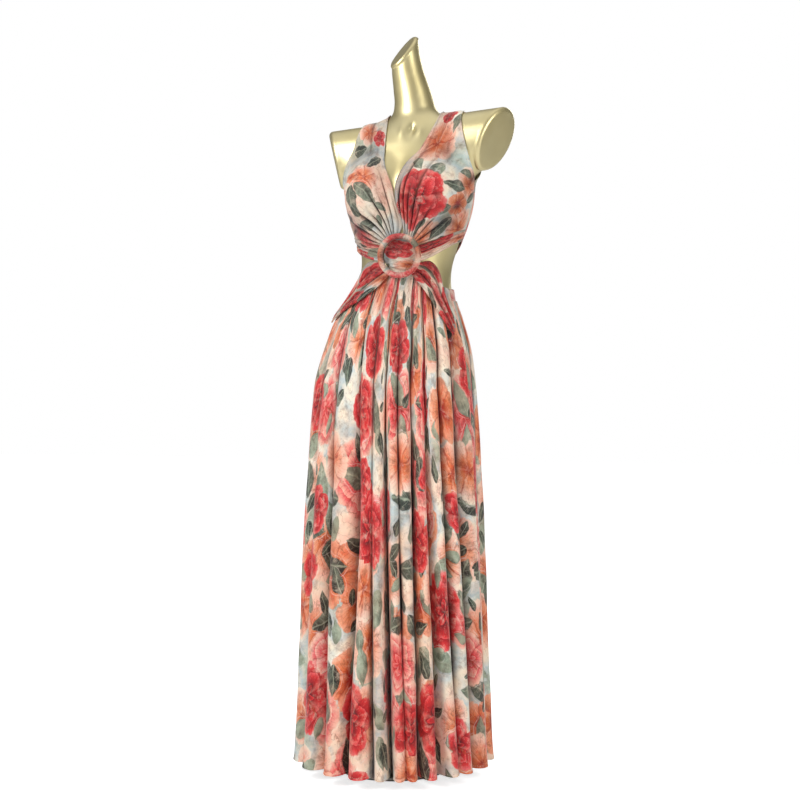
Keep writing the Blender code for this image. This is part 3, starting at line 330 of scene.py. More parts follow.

# Motifs placed on one piece one by one: by piece and layer, each a Motif's values. A
# piece that is "alone" has no others.
OWN_MOTIFS = {
    "front_left": {
        "alone": True,
        "under": [
            (PEACH, 0.232, 0.332, 0.068, 215), (RED, 0.214, 0.402, 0.030, 20),
            (ORANGE, 0.368, 0.226, 0.034, 80), (PEACH, 0.418, 0.205, 0.046, 140),
            (PEACH, 0.372, 0.282, 0.040, 10), (PEACH, 0.360, 0.120, 0.050, 250)],
        "leaf": [
            (0.6, 0.281, 0.262, 0.028, 62), (1.0, 0.336, 0.256, 0.029, 20),
            (1.0, 0.388, 0.160, 0.034, 100), (0.8, 0.420, 0.150, 0.026, 60),
            (0.4, 0.345, 0.192, 0.022, 70), (0.2, 0.235, 0.262, 0.024, 150),
            (0.7, 0.262, 0.392, 0.026, 110), (0.9, 0.398, 0.268, 0.024, 70)],
        "top": [(RED, 0.272, 0.188, 0.076, 95)],
        "sprig": [(0.8, 0.316, 0.132, 0.020, 80), (0.5, 0.352, 0.300, 0.018, 30)],
    },
    "front_right": {
        "alone": True,
        "under": [
            (PEACH, 1.226, 0.372, 0.042, 300), (PEACH, 1.272, 0.246, 0.040, 60),
            (PINK, 1.400, 0.172, 0.040, 15), (PEACH, 1.352, 0.250, 0.034, 200)],
        "leaf": [
            (1.0, 1.270, 0.338, 0.026, 8), (1.0, 1.230, 0.272, 0.028, 172),
            (0.7, 1.286, 0.212, 0.032, 70), (0.9, 1.322, 0.214, 0.034, 115),
            (0.5, 1.340, 0.160, 0.026, 40), (0.9, 1.386, 0.222, 0.024, 80),
            (0.6, 1.300, 0.140, 0.020, 110)],
        "top": [(RED, 1.190, 0.336, 0.026, 30), (ORANGE, 1.302, 0.262, 0.015, 10)],
        "sprig": [(0.3, 1.268, 0.172, 0.020, 40), (0.9, 1.366, 0.170, 0.016, 100)],
    },
    "ring_cover": {
        "alone": True,
        "under": [
            (PINK, 0.262, 0.705, 0.028, 10), (PEACH, 0.318, 0.700, 0.030, 60),
            (PINK, 0.372, 0.705, 0.026, 130), (PEACH, 0.428, 0.700, 0.032, 90),
            (PINK, 0.482, 0.700, 0.026, 200)],
        "leaf": [(0.2, 0.325, 0.705, 0.020, 95)],
    },
    "ring_folds": {
        "alone": True,
        "under": [(PEACH, 3.318, 0.300, 0.040, 30)],
        "top": [(RED, 3.290, 0.385, 0.056, 70)],
        "leaf": [(0.6, 3.262, 0.296, 0.014, 60)],
    },
    "under_bust_band_left": {
        "alone": True,
        "under": [
            (PEACH, 4.000, 0.300, 0.040, 90), (PINK, 3.900, 0.300, 0.050, 40),
            (PEACH, 4.090, 0.220, 0.030, 10)],
        "leaf": [
            (1.0, 4.075, 0.262, 0.036, 95), (0.7, 4.030, 0.315, 0.020, 70),
            (0.5, 4.110, 0.290, 0.024, 100)],
        "top": [(RED, 3.960, 0.232, 0.056, 80)],
    },
    "under_bust_band_right": {
        "under": [(PINK, 4.540, 0.235, 0.045, 20), (RED, 4.640, 0.260, 0.040, 60)],
        "leaf": [(0.8, 4.600, 0.300, 0.026, 80)],
    },
    "hip_drape_left": {
        "alone": True,
        "under": [
            (RED, 5.140, 0.330, 0.050, 10), (PINK, 5.215, 0.385, 0.040, 120),
            (RED, 5.240, 0.450, 0.050, 60), (RED, 5.150, 0.430, 0.050, 15)],
        "leaf": [(0.3, 5.185, 0.330, 0.026, 85), (0.9, 5.262, 0.372, 0.024, 80)],
        "top": [(RED, 5.232, 0.318, 0.040, 40)],
    },
    "hip_drape_right": {
        "alone": True,
        "under": [
            (RED, 5.790, 0.335, 0.052, 70), (PINK, 5.765, 0.425, 0.050, 10),
            (RED, 5.850, 0.410, 0.044, 100), (RED, 5.780, 0.495, 0.044, 30),
            (PEACH, 5.850, 0.320, 0.040, 40)],
        "leaf": [(0.9, 5.878, 0.372, 0.026, 90)],
    },
    "skirt_panel_front": {
        "under": [
            (PINK, 0.26, 0.33, 0.081, 20), (ORANGE, 0.73, 0.15, 0.070, 90),
            (PEACH, 1.25, 0.20, 0.070, 40), (ORANGE, 0.38, 0.66, 0.077, 150),
            (PEACH, 0.27, 0.79, 0.084, 10), (PEACH, 0.56, 0.80, 0.086, 60),
            (PEACH, 0.53, 0.95, 0.081, 200), (PEACH, 1.48, 0.79, 0.084, 100),
            (PINK, 1.35, 0.76, 0.058, 30), (ORANGE, 1.07, 0.93, 0.074, 80),
            (ORANGE, 1.46, 0.98, 0.065, 10), (PEACH, 0.91, 0.43, 0.081, 170),
            (PEACH, 0.83, 0.66, 0.081, 45), (ORANGE, 1.17, 0.56, 0.077, 220),
            (PEACH, 0.12, 0.13, 0.070, 80), (PEACH, 0.43, 0.19, 0.065, 10)],
        "top": [
            (RED, 0.57, 0.20, 0.072, 10), (RED, 0.17, 0.28, 0.070, 100),
            (RED, 1.13, 0.31, 0.090, 60), (RED, 1.51, 0.23, 0.070, 20),
            (RED, 0.56, 0.57, 0.093, 40), (RED, 0.20, 0.66, 0.067, 70),
            (RED, 1.25, 0.74, 0.088, 15), (RED, 0.24, 0.92, 0.081, 50),
            (RED, 0.71, 0.90, 0.077, 80), (RED, 0.91, 0.97, 0.067, 5),
            (RED, 1.30, 1.01, 0.058, 35), (RED, 0.88, 0.20, 0.060, 65),
            (RED, 0.38, 0.08, 0.058, 25), (RED, 1.00, 0.60, 0.067, 15),
            (PINK, 0.62, 0.09, 0.055, 30), (RED, 0.80, 0.08, 0.050, 70),
            (PINK, 0.99, 0.10, 0.060, 15), (RED, 1.20, 0.12, 0.050, 55)],
        "leaf": [
            (0.6, 0.61, 0.34, 0.046, 80), (1.0, 1.38, 0.31, 0.049, 95),
            (0.2, 0.26, 0.49, 0.051, 85), (0.3, 0.31, 0.56, 0.049, 60),
            (1.0, 0.53, 0.69, 0.049, 100), (0.5, 1.29, 0.56, 0.049, 70),
            (0.9, 1.43, 0.67, 0.049, 110), (0.4, 0.36, 0.92, 0.049, 75),
            (0.3, 0.43, 0.47, 0.046, 20), (0.9, 0.49, 0.45, 0.035, 100),
            (0.8, 1.46, 0.90, 0.039, 30), (0.9, 0.78, 0.30, 0.046, 88),
            (1.0, 0.74, 0.50, 0.050, 95), (0.9, 1.03, 0.46, 0.046, 75),
            (1.0, 0.68, 0.73, 0.046, 60), (1.0, 1.09, 0.67, 0.048, 100),
            (0.9, 0.14, 0.44, 0.046, 85)],
    },
    "skirt_panel_back": {
        "top": [(RED, 1.745, 0.450, 0.080, 45), (RED, 1.750, 0.250, 0.060, 10)],
    },
}

# ------------------------------------------------------------------ the stage's tables
Lamp = namedtuple("Lamp", "turn height away size power")
LAMPS = {
    "key_light": Lamp(-32, 2.3, 2.6, (1.1, 1.8), 58),
    "fill_light": Lamp(62, 1.7, 2.6, (0.9, 1.8), 34),
    "back_light": Lamp(172, 2.2, 3.0, (1.4, 1.6), 24),
}
LAMP_AIM_Z = 0.9
SKY_GREYS = [(0.30, 0.56), (0.50, 0.46), (0.66, 0.45), (0.86, 0.43), (1.0, 1.0)]
FLOOR_HALF = 14.0
VIEW_TURN, VIEW_AWAY, VIEW_Z = 18.0, 2.9, 0.78
VIEW_COLUMNS, COLUMN_WIDTH, AIM_COLUMNS = 800, 0.00213, 6.5
SENSOR = 36


# ------------------------------------------------------------------ small geometry
def blend(t, here, there, slope_here, slope_there, step=1.0):
    """A smooth curve's value at a share t of the step from here to there."""
    return (
        (1 + 2 * t) * (1 - t) ** 2 * here
        + t * (1 - t) ** 2 * step * slope_here
        + t**2 * (3 - 2 * t) * there
        + t**2 * (t - 1) * step * slope_there
    )


def smooth_table(at, table, column=1):
    """Read a smooth curve through a table's points; it is level beyond the ends."""
    xs = np.array([row[0] for row in table], float)
    ys = np.array([row[column] for row in table], float)
    secant = np.diff(ys) / np.diff(xs)
    slope = np.concatenate(([secant[0]], (secant[1:] + secant[:-1]) / 2, [secant[-1]]))
    at = np.clip(at, xs[0], xs[-1])
    i = np.clip(np.searchsorted(xs, at, side="right") - 1, 0, len(xs) - 2)
    step = xs[i + 1] - xs[i]
    return blend((at - xs[i]) / step, ys[i], ys[i + 1], slope[i], slope[i + 1], step)


def smooth_min(a, b, reach):
    """The lesser of two distances, rounded where they meet."""
    near = np.maximum(reach - np.abs(a - b), 0) / reach
    return np.minimum(a, b) - near**2 * reach / 4


def smooth_max(a, b, reach):
    """The greater of two distances, rounded where they meet."""
    return -smooth_min(-a, -b, reach)


def oval_gap(offset, radii):
    """About the distance outside an oval or ellipsoid, less than zero within."""
    scaled = offset / radii
    near = np.linalg.norm(scaled, axis=-1)
    steep = np.linalg.norm(scaled / radii, axis=-1) + 1e-9
    return near * (near - 1) / steep


def unit(vector):
    """The vector at length one."""
    vector = np.asarray(vector, float)
    return vector / np.linalg.norm(vector)


def unit_rows(vectors):
    """Vectors brought to length one."""
    return vectors / np.maximum(np.linalg.norm(vectors, axis=-1, keepdims=True), 1e-12)


def rise(value, start, end):
    """Nothing before start, one past end and a soft rise between."""
    t = np.clip((value - start) / (end - start), 0, 1)
    return t * t * (3 - 2 * t)


def refine(grid, rows, columns):
    """More rows and columns through a coarse grid's points, on smooth curves."""
    for count in (rows, columns):
        slope = np.gradient(grid, axis=0)
        at = np.linspace(0, len(grid) - 1, count)
        i = np.minimum(at.astype(int), len(grid) - 2)
        t = (at - i)[:, None, None]
        grid = blend(t, grid[i], grid[i + 1], slope[i], slope[i + 1]).transpose(1, 0, 2)
    return grid


def grid_normals(grid):
    """Unit normals of a grid of points, across times down."""
    normal = np.cross(np.gradient(grid, axis=1), np.gradient(grid, axis=0))
    return normal / (np.linalg.norm(normal, axis=-1)[..., None] + 1e-12)


def normals_out(grid, outward):
    """A grid's unit normals on the side that outward points to."""
    normal = grid_normals(grid)
    return -normal if (normal * outward).sum() < 0 else normal


def from_the_body(grid):
    """Level directions from the body's middle line to a grid's points."""
    outward = grid - (SHOULDER_MIDDLE[0], 0, 0)
    outward[..., 2] = 0
    return outward


def run_along(points, axis=0):
    """Length run along a line of points, or a grid's rows or columns, up to each point."""
    step = np.linalg.norm(np.diff(points, axis=axis), axis=-1)
    start = np.zeros_like(np.take(step, [0], axis))
    return np.concatenate((start, np.cumsum(step, axis)), axis)


def read_off(at, run, values):
    """Vectors at lengths along a line, from those at its points."""
    return np.stack([np.interp(at, run, values[:, k]) for k in range(3)], axis=-1)


def size_of(grid):
    """A grid's greatest width and its mean length."""
    return float(run_along(grid, 1)[:, -1].max()), float(run_along(grid)[-1].mean())


def area_of(grid):
    """Area of a grid of points."""
    a, b = grid[1:, :-1] - grid[:-1, :-1], grid[:-1, 1:] - grid[:-1, :-1]
    return float(np.linalg.norm(np.cross(a, b), axis=-1).sum())


def shares_of(grid):
    """Each grid point's share across and out."""
    rows, columns = (np.linspace(0, 1, count) for count in grid.shape[:2])
    out, across = np.meshgrid(rows, columns, indexing="ij")
    return across, out


def waving(u, v, waves, panel):
    """An uneven, soft relief about nothing, drawn out along the cloth's length."""
    dice = np.random.default_rng(waves.chance + panel)
    total = 0
    for _ in range(waves.count):
        across = 2 * math.pi / (waves.short * dice.uniform(0.7, 1.9))
        down = 2 * math.pi / (waves.long * dice.uniform(0.7, 2.0)) * dice.choice((-1, 1))
        height, start = dice.uniform(0.5, 1), dice.uniform(0, 6.28)
        total = total + height * np.sin(across * u + down * v + start)
    return total / waves.count


# ------------------------------------------------------------------ the form's shape
def form_cuts():
    """The neck's and the arms' flat cuts: a point, the way it faces and its edge."""
    cuts = [(np.array(NECK_CUT_POINT), unit(NECK_CUT_NORMAL), CUT_EDGES[0])]
    for side, edge in zip((1, -1), CUT_EDGES[1:]):
        out = side * ARM_CUT_OUT[side]
        point = np.array(SHOULDER_MIDDLE) + (out, 0, SHOULDER_ROLL * out)
        cuts.append((point, unit(ARM_CUT_NORMALS[side]), edge))
    return cuts


def form_gap(points, spare=0.0):
    """About how far points are outside the form, less than zero within it."""
    x, y, z = points[..., 0], points[..., 1], points[..., 2]
    middle, set_back = smooth_table(z, TRUNK, MIDDLE), smooth_table(z, TRUNK, SET_BACK)
    wide = smooth_table(z, TRUNK, HALF_WIDTH)
    deep = np.where(y < set_back, smooth_table(z, TRUNK, FRONT), smooth_table(z, TRUNK, BACK))
    across = np.stack((x - middle, y - set_back), axis=-1)
    gap = smooth_max(
        oval_gap(across, np.stack((wide, deep), axis=-1)), FORM_BOTTOM_Z - z, BOTTOM_FILLET
    )
    bust_middle = smooth_table(BUST_Z, TRUNK, MIDDLE)
    for side, _ in SIDES:
        centre = np.array((bust_middle + side * BUST_CENTRE[0], BUST_CENTRE[1], BUST_Z), float)
        gap = smooth_min(gap, oval_gap(points - centre, np.array(BUST_RADII)), BUST_FILLET)
    out = x - SHOULDER_MIDDLE[0]
    up = z - SHOULDER_MIDDLE[2] - SHOULDER_ROLL * out
    tube = oval_gap(np.stack((y - SHOULDER_MIDDLE[1], up), axis=-1), np.array(SHOULDER_RADII))
    neck_cut, *arm_cuts = form_cuts()
    for point, normal, _ in arm_cuts:
        tube = np.maximum(tube, (points - point) @ normal - spare)
    gap = smooth_min(gap, tube, SHOULDER_FILLET)
    return np.maximum(gap, (points - neck_cut[0]) @ neck_cut[1] - spare)


def form_slope(points):
    """Gradient of form_gap."""
    tiny = 2e-4
    parts = []
    for axis in range(3):
        step = np.zeros(3)
        step[axis] = tiny
        parts.append((form_gap(points + step) - form_gap(points - step)) / (2 * tiny))
    return np.stack(parts, axis=-1)


def onto_form(points, lift, level=False, steps=14):
    """Move points, or only across where level, to lie the given lift above the form."""
    points = np.array(points, float)
    lift = np.asarray(lift, float)
    for _ in range(steps):
        slope = form_slope(points)
        if level:
            slope[..., 2] = 0
        short = (form_gap(points) - lift) / np.maximum((slope**2).sum(axis=-1), 0.25)
        points = points - np.clip(short, -0.02, 0.02)[..., None] * slope
    return points


def where_rays_leave(start, rays):
    """The last points inside the form, with spare, on rays from a point within it."""
    reach = np.arange(0, RAY_REACH, RAY_STEP)
    gaps = form_gap(start + reach[:, None, None] * rays, CUT_SPARE)
    first = np.argmax(gaps > 0, axis=0)
    low, high = reach[first - 1], reach[first]
    for _ in range(RAY_HALVINGS):
        half = (low + high) / 2
        inside = form_gap(start + half[:, None] * rays, CUT_SPARE) < 0
        low, high = np.where(inside, half, low), np.where(inside, high, half)
    return start + low[:, None] * rays


def form_surface():
    """Fine rings of points on the form, found by rays from its middle line."""
    turn = np.arange(FORM_COLUMNS) * 2 * math.pi / FORM_COLUMNS
    turn = turn - FORM_SIDE_FOCUS * np.sin(2 * turn) / 2
    flat = np.stack((np.cos(turn), np.sin(turn)), axis=-1)
    slant = unit(NECK_CUT_NORMAL)
    coarse = np.array(FORM_ROWS, float)
    at = np.linspace(0, len(coarse) - 1, (len(coarse) - 1) * FORM_ROWS_BETWEEN + 1)
    rings = []
    for start_z, climb, lean in read_off(at, np.arange(len(coarse)), coarse):
        middle = (smooth_table(start_z, TRUNK, column) for column in (MIDDLE, SET_BACK))
        start = np.array([*middle, start_z], float)
        up = math.tan(math.radians(climb)) - lean * (flat @ slant[:2]) / slant[2]
        rays = np.column_stack((flat, up))
        rays /= np.linalg.norm(rays, axis=1)[:, None]
        rings.append(where_rays_leave(start, rays))
    return np.array(rings)


# ------------------------------------------------------------------ the skirt's shape
def hoop_point(angle, z, lift=0.0):
    """A point on the skirt's outer form, at an angle in degrees and a height."""
    turn = np.radians(angle)
    deep = np.where(
        np.cos(turn) > 0, smooth_table(z, SKIRT, FRONT), smooth_table(z, SKIRT, BACK)
    )
    wide = smooth_table(z, SKIRT, HALF_WIDTH)
    reach = 1 / np.hypot(np.sin(turn) / wide, np.cos(turn) / deep) + lift
    middle = smooth_table(z, SKIRT, MIDDLE)
    return np.stack((middle + reach * np.sin(turn), -reach * np.cos(turn), z), axis=-1)


def drifted(valley, share):
    """A valley's angle at a share of the way down."""
    return smooth_table(share, [(0, valley.top), (0.5, valley.middle), (1, valley.hem)])


def valley_angle(fold, share, column_share):
    """Angle of a point at a share of the way from one valley to the next."""
    turns, index = divmod(fold, len(VALLEYS))
    following = VALLEYS[(index + 1) % len(VALLEYS)]
    wrap = 360 * turns + (360 if index + 1 == len(VALLEYS) else 0)
    here = drifted(VALLEYS[index], share) + 360 * turns
    there = drifted(following, share) + wrap
    return here + (there - here) * column_share


def fold_depth(valley, z):
    """How deep a valley is at a height."""
    gather = smooth_table(z, GATHER_DEPTH)
    middle, hem = valley.depth_middle, valley.depth_hem
    deep = smooth_table(z, [
        (HEM_Z, hem), (0.20, 0.8 * hem + 0.2 * middle), (0.50, middle), (0.64, 0.8 * middle),
        (FORM_FREE_Z, 0.55 * middle), (0.80, 0.0)])
    return np.maximum(deep, np.minimum(gather, 0.3 * middle + 0.004))


def waist_height(angle):
    """The skirt's upper edge at an angle."""
    return smooth_table((angle + 180) % 360 - 180, WAIST_LINE)


def skirt_column(at, shares, top_drop):
    """One column of the skirt's cloth; at is its fold and the share of the way to the next."""
    fold = math.floor(at)
    share = at - fold
    angle = valley_angle(fold, shares, share)
    valley = VALLEYS[(fold if share <= 0.5 else fold + 1) % len(VALLEYS)]
    # The valley's bottom is turned over a small radius, the ridge is broad and round.
    open_share = 2 * min(share, 1 - share)
    open_share = (math.hypot(open_share, FOLD_SOFT) - FOLD_SOFT) / (
        math.hypot(1, FOLD_SOFT) - FOLD_SOFT)
    shape = 1 - math.sqrt(1 - (1 - open_share) ** 2)
    top = waist_height(angle) - top_drop
    z = top + (HEM_Z + HEM_RISE * shape - top) * shares
    return hoop_point(angle, z, -WALL / 2 - fold_depth(valley, z) * shape)


# ------------------------------------------------------------------ making meshes
def settings():
    """The dress's sizes as set in the panel."""
    return bpy.context.scene.maxi_dress


def dyes():
    """The dress's colours as set in the panel."""
    return bpy.context.scene.maxi_dress_colours


def add_piece(name, vertices, faces, finish, nodes, flat=None, sharp=60):
    """A piece of the object, in the frame's place, standing for its frame nodes."""
    mesh = bpy.data.meshes.new(name)
    vertices = np.asarray(vertices, float) + (SHIFT_X, 0, 0)
    mesh.from_pydata(vertices.tolist(), [], faces)
    mesh.shade_smooth()
    mesh.set_sharp_from_angle(angle=math.radians(sharp))
    if flat is not None:
        corner = np.zeros(len(mesh.loops), int)
        mesh.loops.foreach_get("vertex_index", corner)
        layer = mesh.uv_layers.new(name="flat_cloth")
        layer.uv.foreach_set("vector", np.asarray(flat, np.float32)[corner].ravel())
    mesh.materials.append(finish)
    piece = bpy.data.objects.new(name, mesh)
    bpy.context.scene.collection.objects.link(piece)
    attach(piece, "root")
    if nodes:
        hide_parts(*nodes)
    return piece


def grid_faces(rows, columns, start=0, turned=False):
    """Quads of a grid of points, numbered from start."""
    corner = (np.arange(rows - 1)[:, None] * columns + np.arange(columns - 1)).ravel() + start
    quads = np.stack((corner, corner + 1, corner + columns + 1, corner + columns), axis=-1)
    return quads[:, ::-1] if turned else quads


def edge_roll(grid, rolls):
    """How much thicker the cloth is at its hems, above its one layer: half of it."""
    top, bottom, left, right = rolls
    width = settings().hem_width
    extra = np.zeros(grid.shape[:2])
    for axis, wanted in ((0, (top, bottom)), (1, (left, right))):
        run = run_along(grid, axis)
        total = np.take(run, [-1], axis)
        for amount, away in zip(wanted, (run, total - run)):
            if amount:
                t = np.clip((away - width / 2) / (width / 2), -1, 1)
                extra = np.maximum(extra, amount * np.sqrt(1 - t**2))
    return extra


def evened_out(grid, reach):
    """A grid's points averaged along its rows over a reach to both sides."""
    count = grid.shape[1]
    start, end = np.repeat(grid[:, :1], reach, 1), np.repeat(grid[:, -1:], reach, 1)
    total = np.cumsum(np.concatenate((start, grid, end), 1), 1)
    return (total[:, 2 * reach:2 * reach + count] - total[:, :count]) / (2 * reach)


def hollows(grid, normal, reach, depth):
    """How deep a point lies in a fold beside its neighbours: -1 on a crest, 1 in a valley."""
    even = evened_out(evened_out(grid, reach), reach)
    return np.clip(((even - grid) * normal).sum(axis=-1) / depth, -1, 1)


def sew(name, middle, flat, node, rolls=(0, 0, 0, 0), folds=BODICE_FOLD_SHADE, outward=None):
    """A thin closed piece of cloth about a middle surface; rolls are its hems' half
    thickness at its top, bottom, first and last edge."""
    if outward is None:
        outward = from_the_body(middle)
    if (grid_normals(middle) * outward).sum() < 0:
        middle, flat = middle[:, ::-1], flat[:, ::-1]
        rolls = (rolls[0], rolls[1], rolls[3], rolls[2])
    normal = grid_normals(middle)
    half = (settings().cloth / 2 + edge_roll(middle, rolls))[..., None] * normal
    rows, columns = middle.shape[:2]
    count = rows * columns
    vertices = np.concatenate(((middle + half).reshape(-1, 3), (middle - half).reshape(-1, 3)))
    point = np.arange(count).reshape(rows, columns)
    rim = np.concatenate((point[0], point[1:, -1], point[-1, -2::-1], point[-2:0:-1, 0]))
    after = np.roll(rim, -1)
    strip = np.stack((rim, rim + count, after + count, after), axis=-1)
    faces = np.concatenate(
        (grid_faces(rows, columns), grid_faces(rows, columns, count, turned=True), strip)
    )
    both = np.concatenate((flat.reshape(-1, 2), flat.reshape(-1, 2)))
    finish = printed_crepe()
    piece = add_piece(name, vertices, faces.tolist(), finish, [node], both)
    chart(piece, both, faces)
    # How deep each point lies in a fold, kept on the mesh for the print's painted fold shade.
    deep = hollows(middle, normal, *folds)
    layer = piece.data.attributes.new("fold_shade_depth", "FLOAT", "POINT")
    layer.data.foreach_set("value", np.tile(deep.ravel(), 2).astype(np.float32))
    return piece


def declare_sheet(middle, size):
    """Reckon the size the piece was cut to before it was sewn; nothing is kept of it."""
    width, length = (round(s, 3) for s in size)
    min(area_of(middle), width * length)


def flat_of(grid, start=(0, 0), gathered=0.0, ease=1.0):
    """Places on the flat cloth, which is never narrower than its gathered width."""
    wide = run_along(grid, 1)[:, -1] * ease
    wide = np.hypot(wide, gathered * np.clip(1 - wide / max(2 * gathered, 1e-6), 0, 1))
    across = (np.linspace(0, 1, grid.shape[1])[None] - 0.5) * wide[:, None]
    return np.stack((start[0] + across, start[1] + run_along(grid)), axis=-1)


def stitch_line(grid, edge):
    """The line just inside an edge of a piece, and the cloth's normals along it."""
    axis, end = edge
    normals = normals_out(grid, from_the_body(grid))
    if not axis:
        grid, normals = np.swapaxes(grid, 0, 1), np.swapaxes(normals, 0, 1)
    if end:
        grid, normals = grid[:, ::-1], normals[:, ::-1]
    wanted = settings().hem_width + STITCH_INSET
    runs = run_along(grid, 1)
    line = [read_off(wanted, run, points) for run, points in zip(runs, grid)]
    up = [read_off(wanted, run, ways) for run, ways in zip(runs, normals)]
    return np.array(line), np.array(up)


def stitch(name, grid, edge):
    """A row of short stitches beside one edge of a piece: edge is its axis and end."""
    line, up = stitch_line(grid, edge)
    run = run_along(line)
    count, rings = int(run[-1] / STITCH_PITCH), len(STITCH_GIRTH)
    places = np.linspace(-0.5, 0.5, rings) * STITCH_LENGTH
    places = (np.arange(count) + 0.5)[:, None] * STITCH_PITCH + places
    middle = read_off(places, run, line)
    rise_way = unit_rows(read_off(places, run, up))
    side_way = np.cross(unit_rows(np.gradient(middle, axis=1)), rise_way)
    arch = np.cos(np.linspace(-1, 1, rings) * STITCH_BEND)[None, :, None]
    middle = middle + rise_way * (settings().cloth / 2 + THREAD * (arch * 0.9 - 0.15))
    turn = np.radians(np.arange(STITCH_SIDES) * 360 / STITCH_SIDES)[:, None]
    rim = np.cos(turn) * side_way[:, :, None] + np.sin(turn) * rise_way[:, :, None]
    girth = THREAD * np.array(STITCH_GIRTH)[None, :, None, None]
    points = (middle[:, :, None] + rim * girth / 2).reshape(-1, 3)
    faces = []
    for first in range(0, len(points), rings * STITCH_SIDES):
        last = first + (rings - 1) * STITCH_SIDES
        for ring in range(first, last, STITCH_SIDES):
            for j in range(STITCH_SIDES):
                a, b = ring + j, ring + (j + 1) % STITCH_SIDES
                faces.append((a, b, b + STITCH_SIDES, a + STITCH_SIDES))
        faces.append(tuple(range(first + STITCH_SIDES - 1, first - 1, -1)))
        faces.append(tuple(range(last, last + STITCH_SIDES)))
    add_piece(name, points, faces, sewing_thread(), [])


# ------------------------------------------------------------------ the print's chart
def strewn(strewing, clear_of=()):
    """Motifs strewn evenly over one repeat, each in the widest gap of a few tried."""
    dice = np.random.default_rng(strewing.chance)
    found = []
    for k in range(strewing.count):
        radius = dice.uniform(strewing.least, strewing.most)
        best = None
        for _ in range(STREWING_TRIES):
            u, v = dice.uniform(0, REPEAT[0]), dice.uniform(0, REPEAT[1])
            gaps = [1.0]
            for other in (*found, *clear_of):
                across, down = abs(u - other.u), abs(v - other.v)
                across, down = min(across, REPEAT[0] - across), min(down, REPEAT[1] - down)
                gaps.append(math.hypot(across, down) / (radius + other.radius))
            if best is None or min(gaps) > best[0]:
                best = (min(gaps), u, v)
        kind = strewing.kinds[k % len(strewing.kinds)]
        found.append(Motif(kind, best[1], best[2], radius, dice.uniform(0, 360)))
    return found


@cache
def print_layers():
    """The print's four layers of motifs in one repeat, from the lowest up."""
    top = strewn(OVER_BLOOMS)
    return {
        "under": strewn(UNDER_BLOOMS), "leaf": strewn(LEAVES), "top": top,
        "sprig": strewn(SMALL_LEAVES, top)}


def repeated(motifs, low, high):
    """The print's repeat laid over a stretch of cloth."""
    steps = [
        range(math.floor(least / size) - 1, math.ceil(most / size) + 1)
        for least, most, size in zip(low, high, REPEAT)
    ]
    return [
        m._replace(u=m.u + i * REPEAT[0], v=m.v + j * REPEAT[1])
        for i in steps[0] for j in steps[1] for m in motifs
    ]


def own_motifs(name, layer):
    """The motifs that are placed on a piece one by one in one layer."""
    return [Motif(*row) for row in OWN_MOTIFS.get(name, {}).get(layer, ())]


def motifs_on(name, layer, low, high):
    """One layer's motifs on a piece: its own, and those of the repeat that keep off them."""
    own = own_motifs(name, layer)
    held = own + (own_motifs(name, "top") if layer == "sprig" else [])
    alone = OWN_MOTIFS.get(name, {}).get("alone")
    others = [] if alone else repeated(print_layers()[layer], low, high)

    def keeps_off(m, o):
        return math.hypot(m.u - o.u, m.v - o.v) > MOTIF_CLEARANCE * (m.radius + o.radius)

    return [m for m in others if all(keeps_off(m, o) for o in held)] + own + [NO_MOTIF]


def chart(piece, flat, faces):
    """Store on each face of cloth each layer's nearest motif: its place, size and turn."""
    centre = np.asarray(flat)[faces].mean(axis=1)
    low, high = centre.min(axis=0), centre.max(axis=0)
    for layer in print_layers():
        table = np.array(motifs_on(piece.name, layer, low, high), float)
        away = np.hypot(centre[:, None, 0] - table[:, 1], centre[:, None, 1] - table[:, 2])
        kind, u, v, radius, turn = table[np.argmin(away / table[:, 3], axis=1)].T
        chance = (u * 7.3 + v * 3.1) % 1
        for name, values in (("place", (u, v, radius)),
                             ("traits", (np.radians(turn), kind, chance))):
            stored = piece.data.attributes.new(f"{layer}_{name}", "FLOAT_VECTOR", "FACE")
            values = np.stack(values, axis=-1).astype(np.float32)
            stored.data.foreach_set("vector", values.ravel())


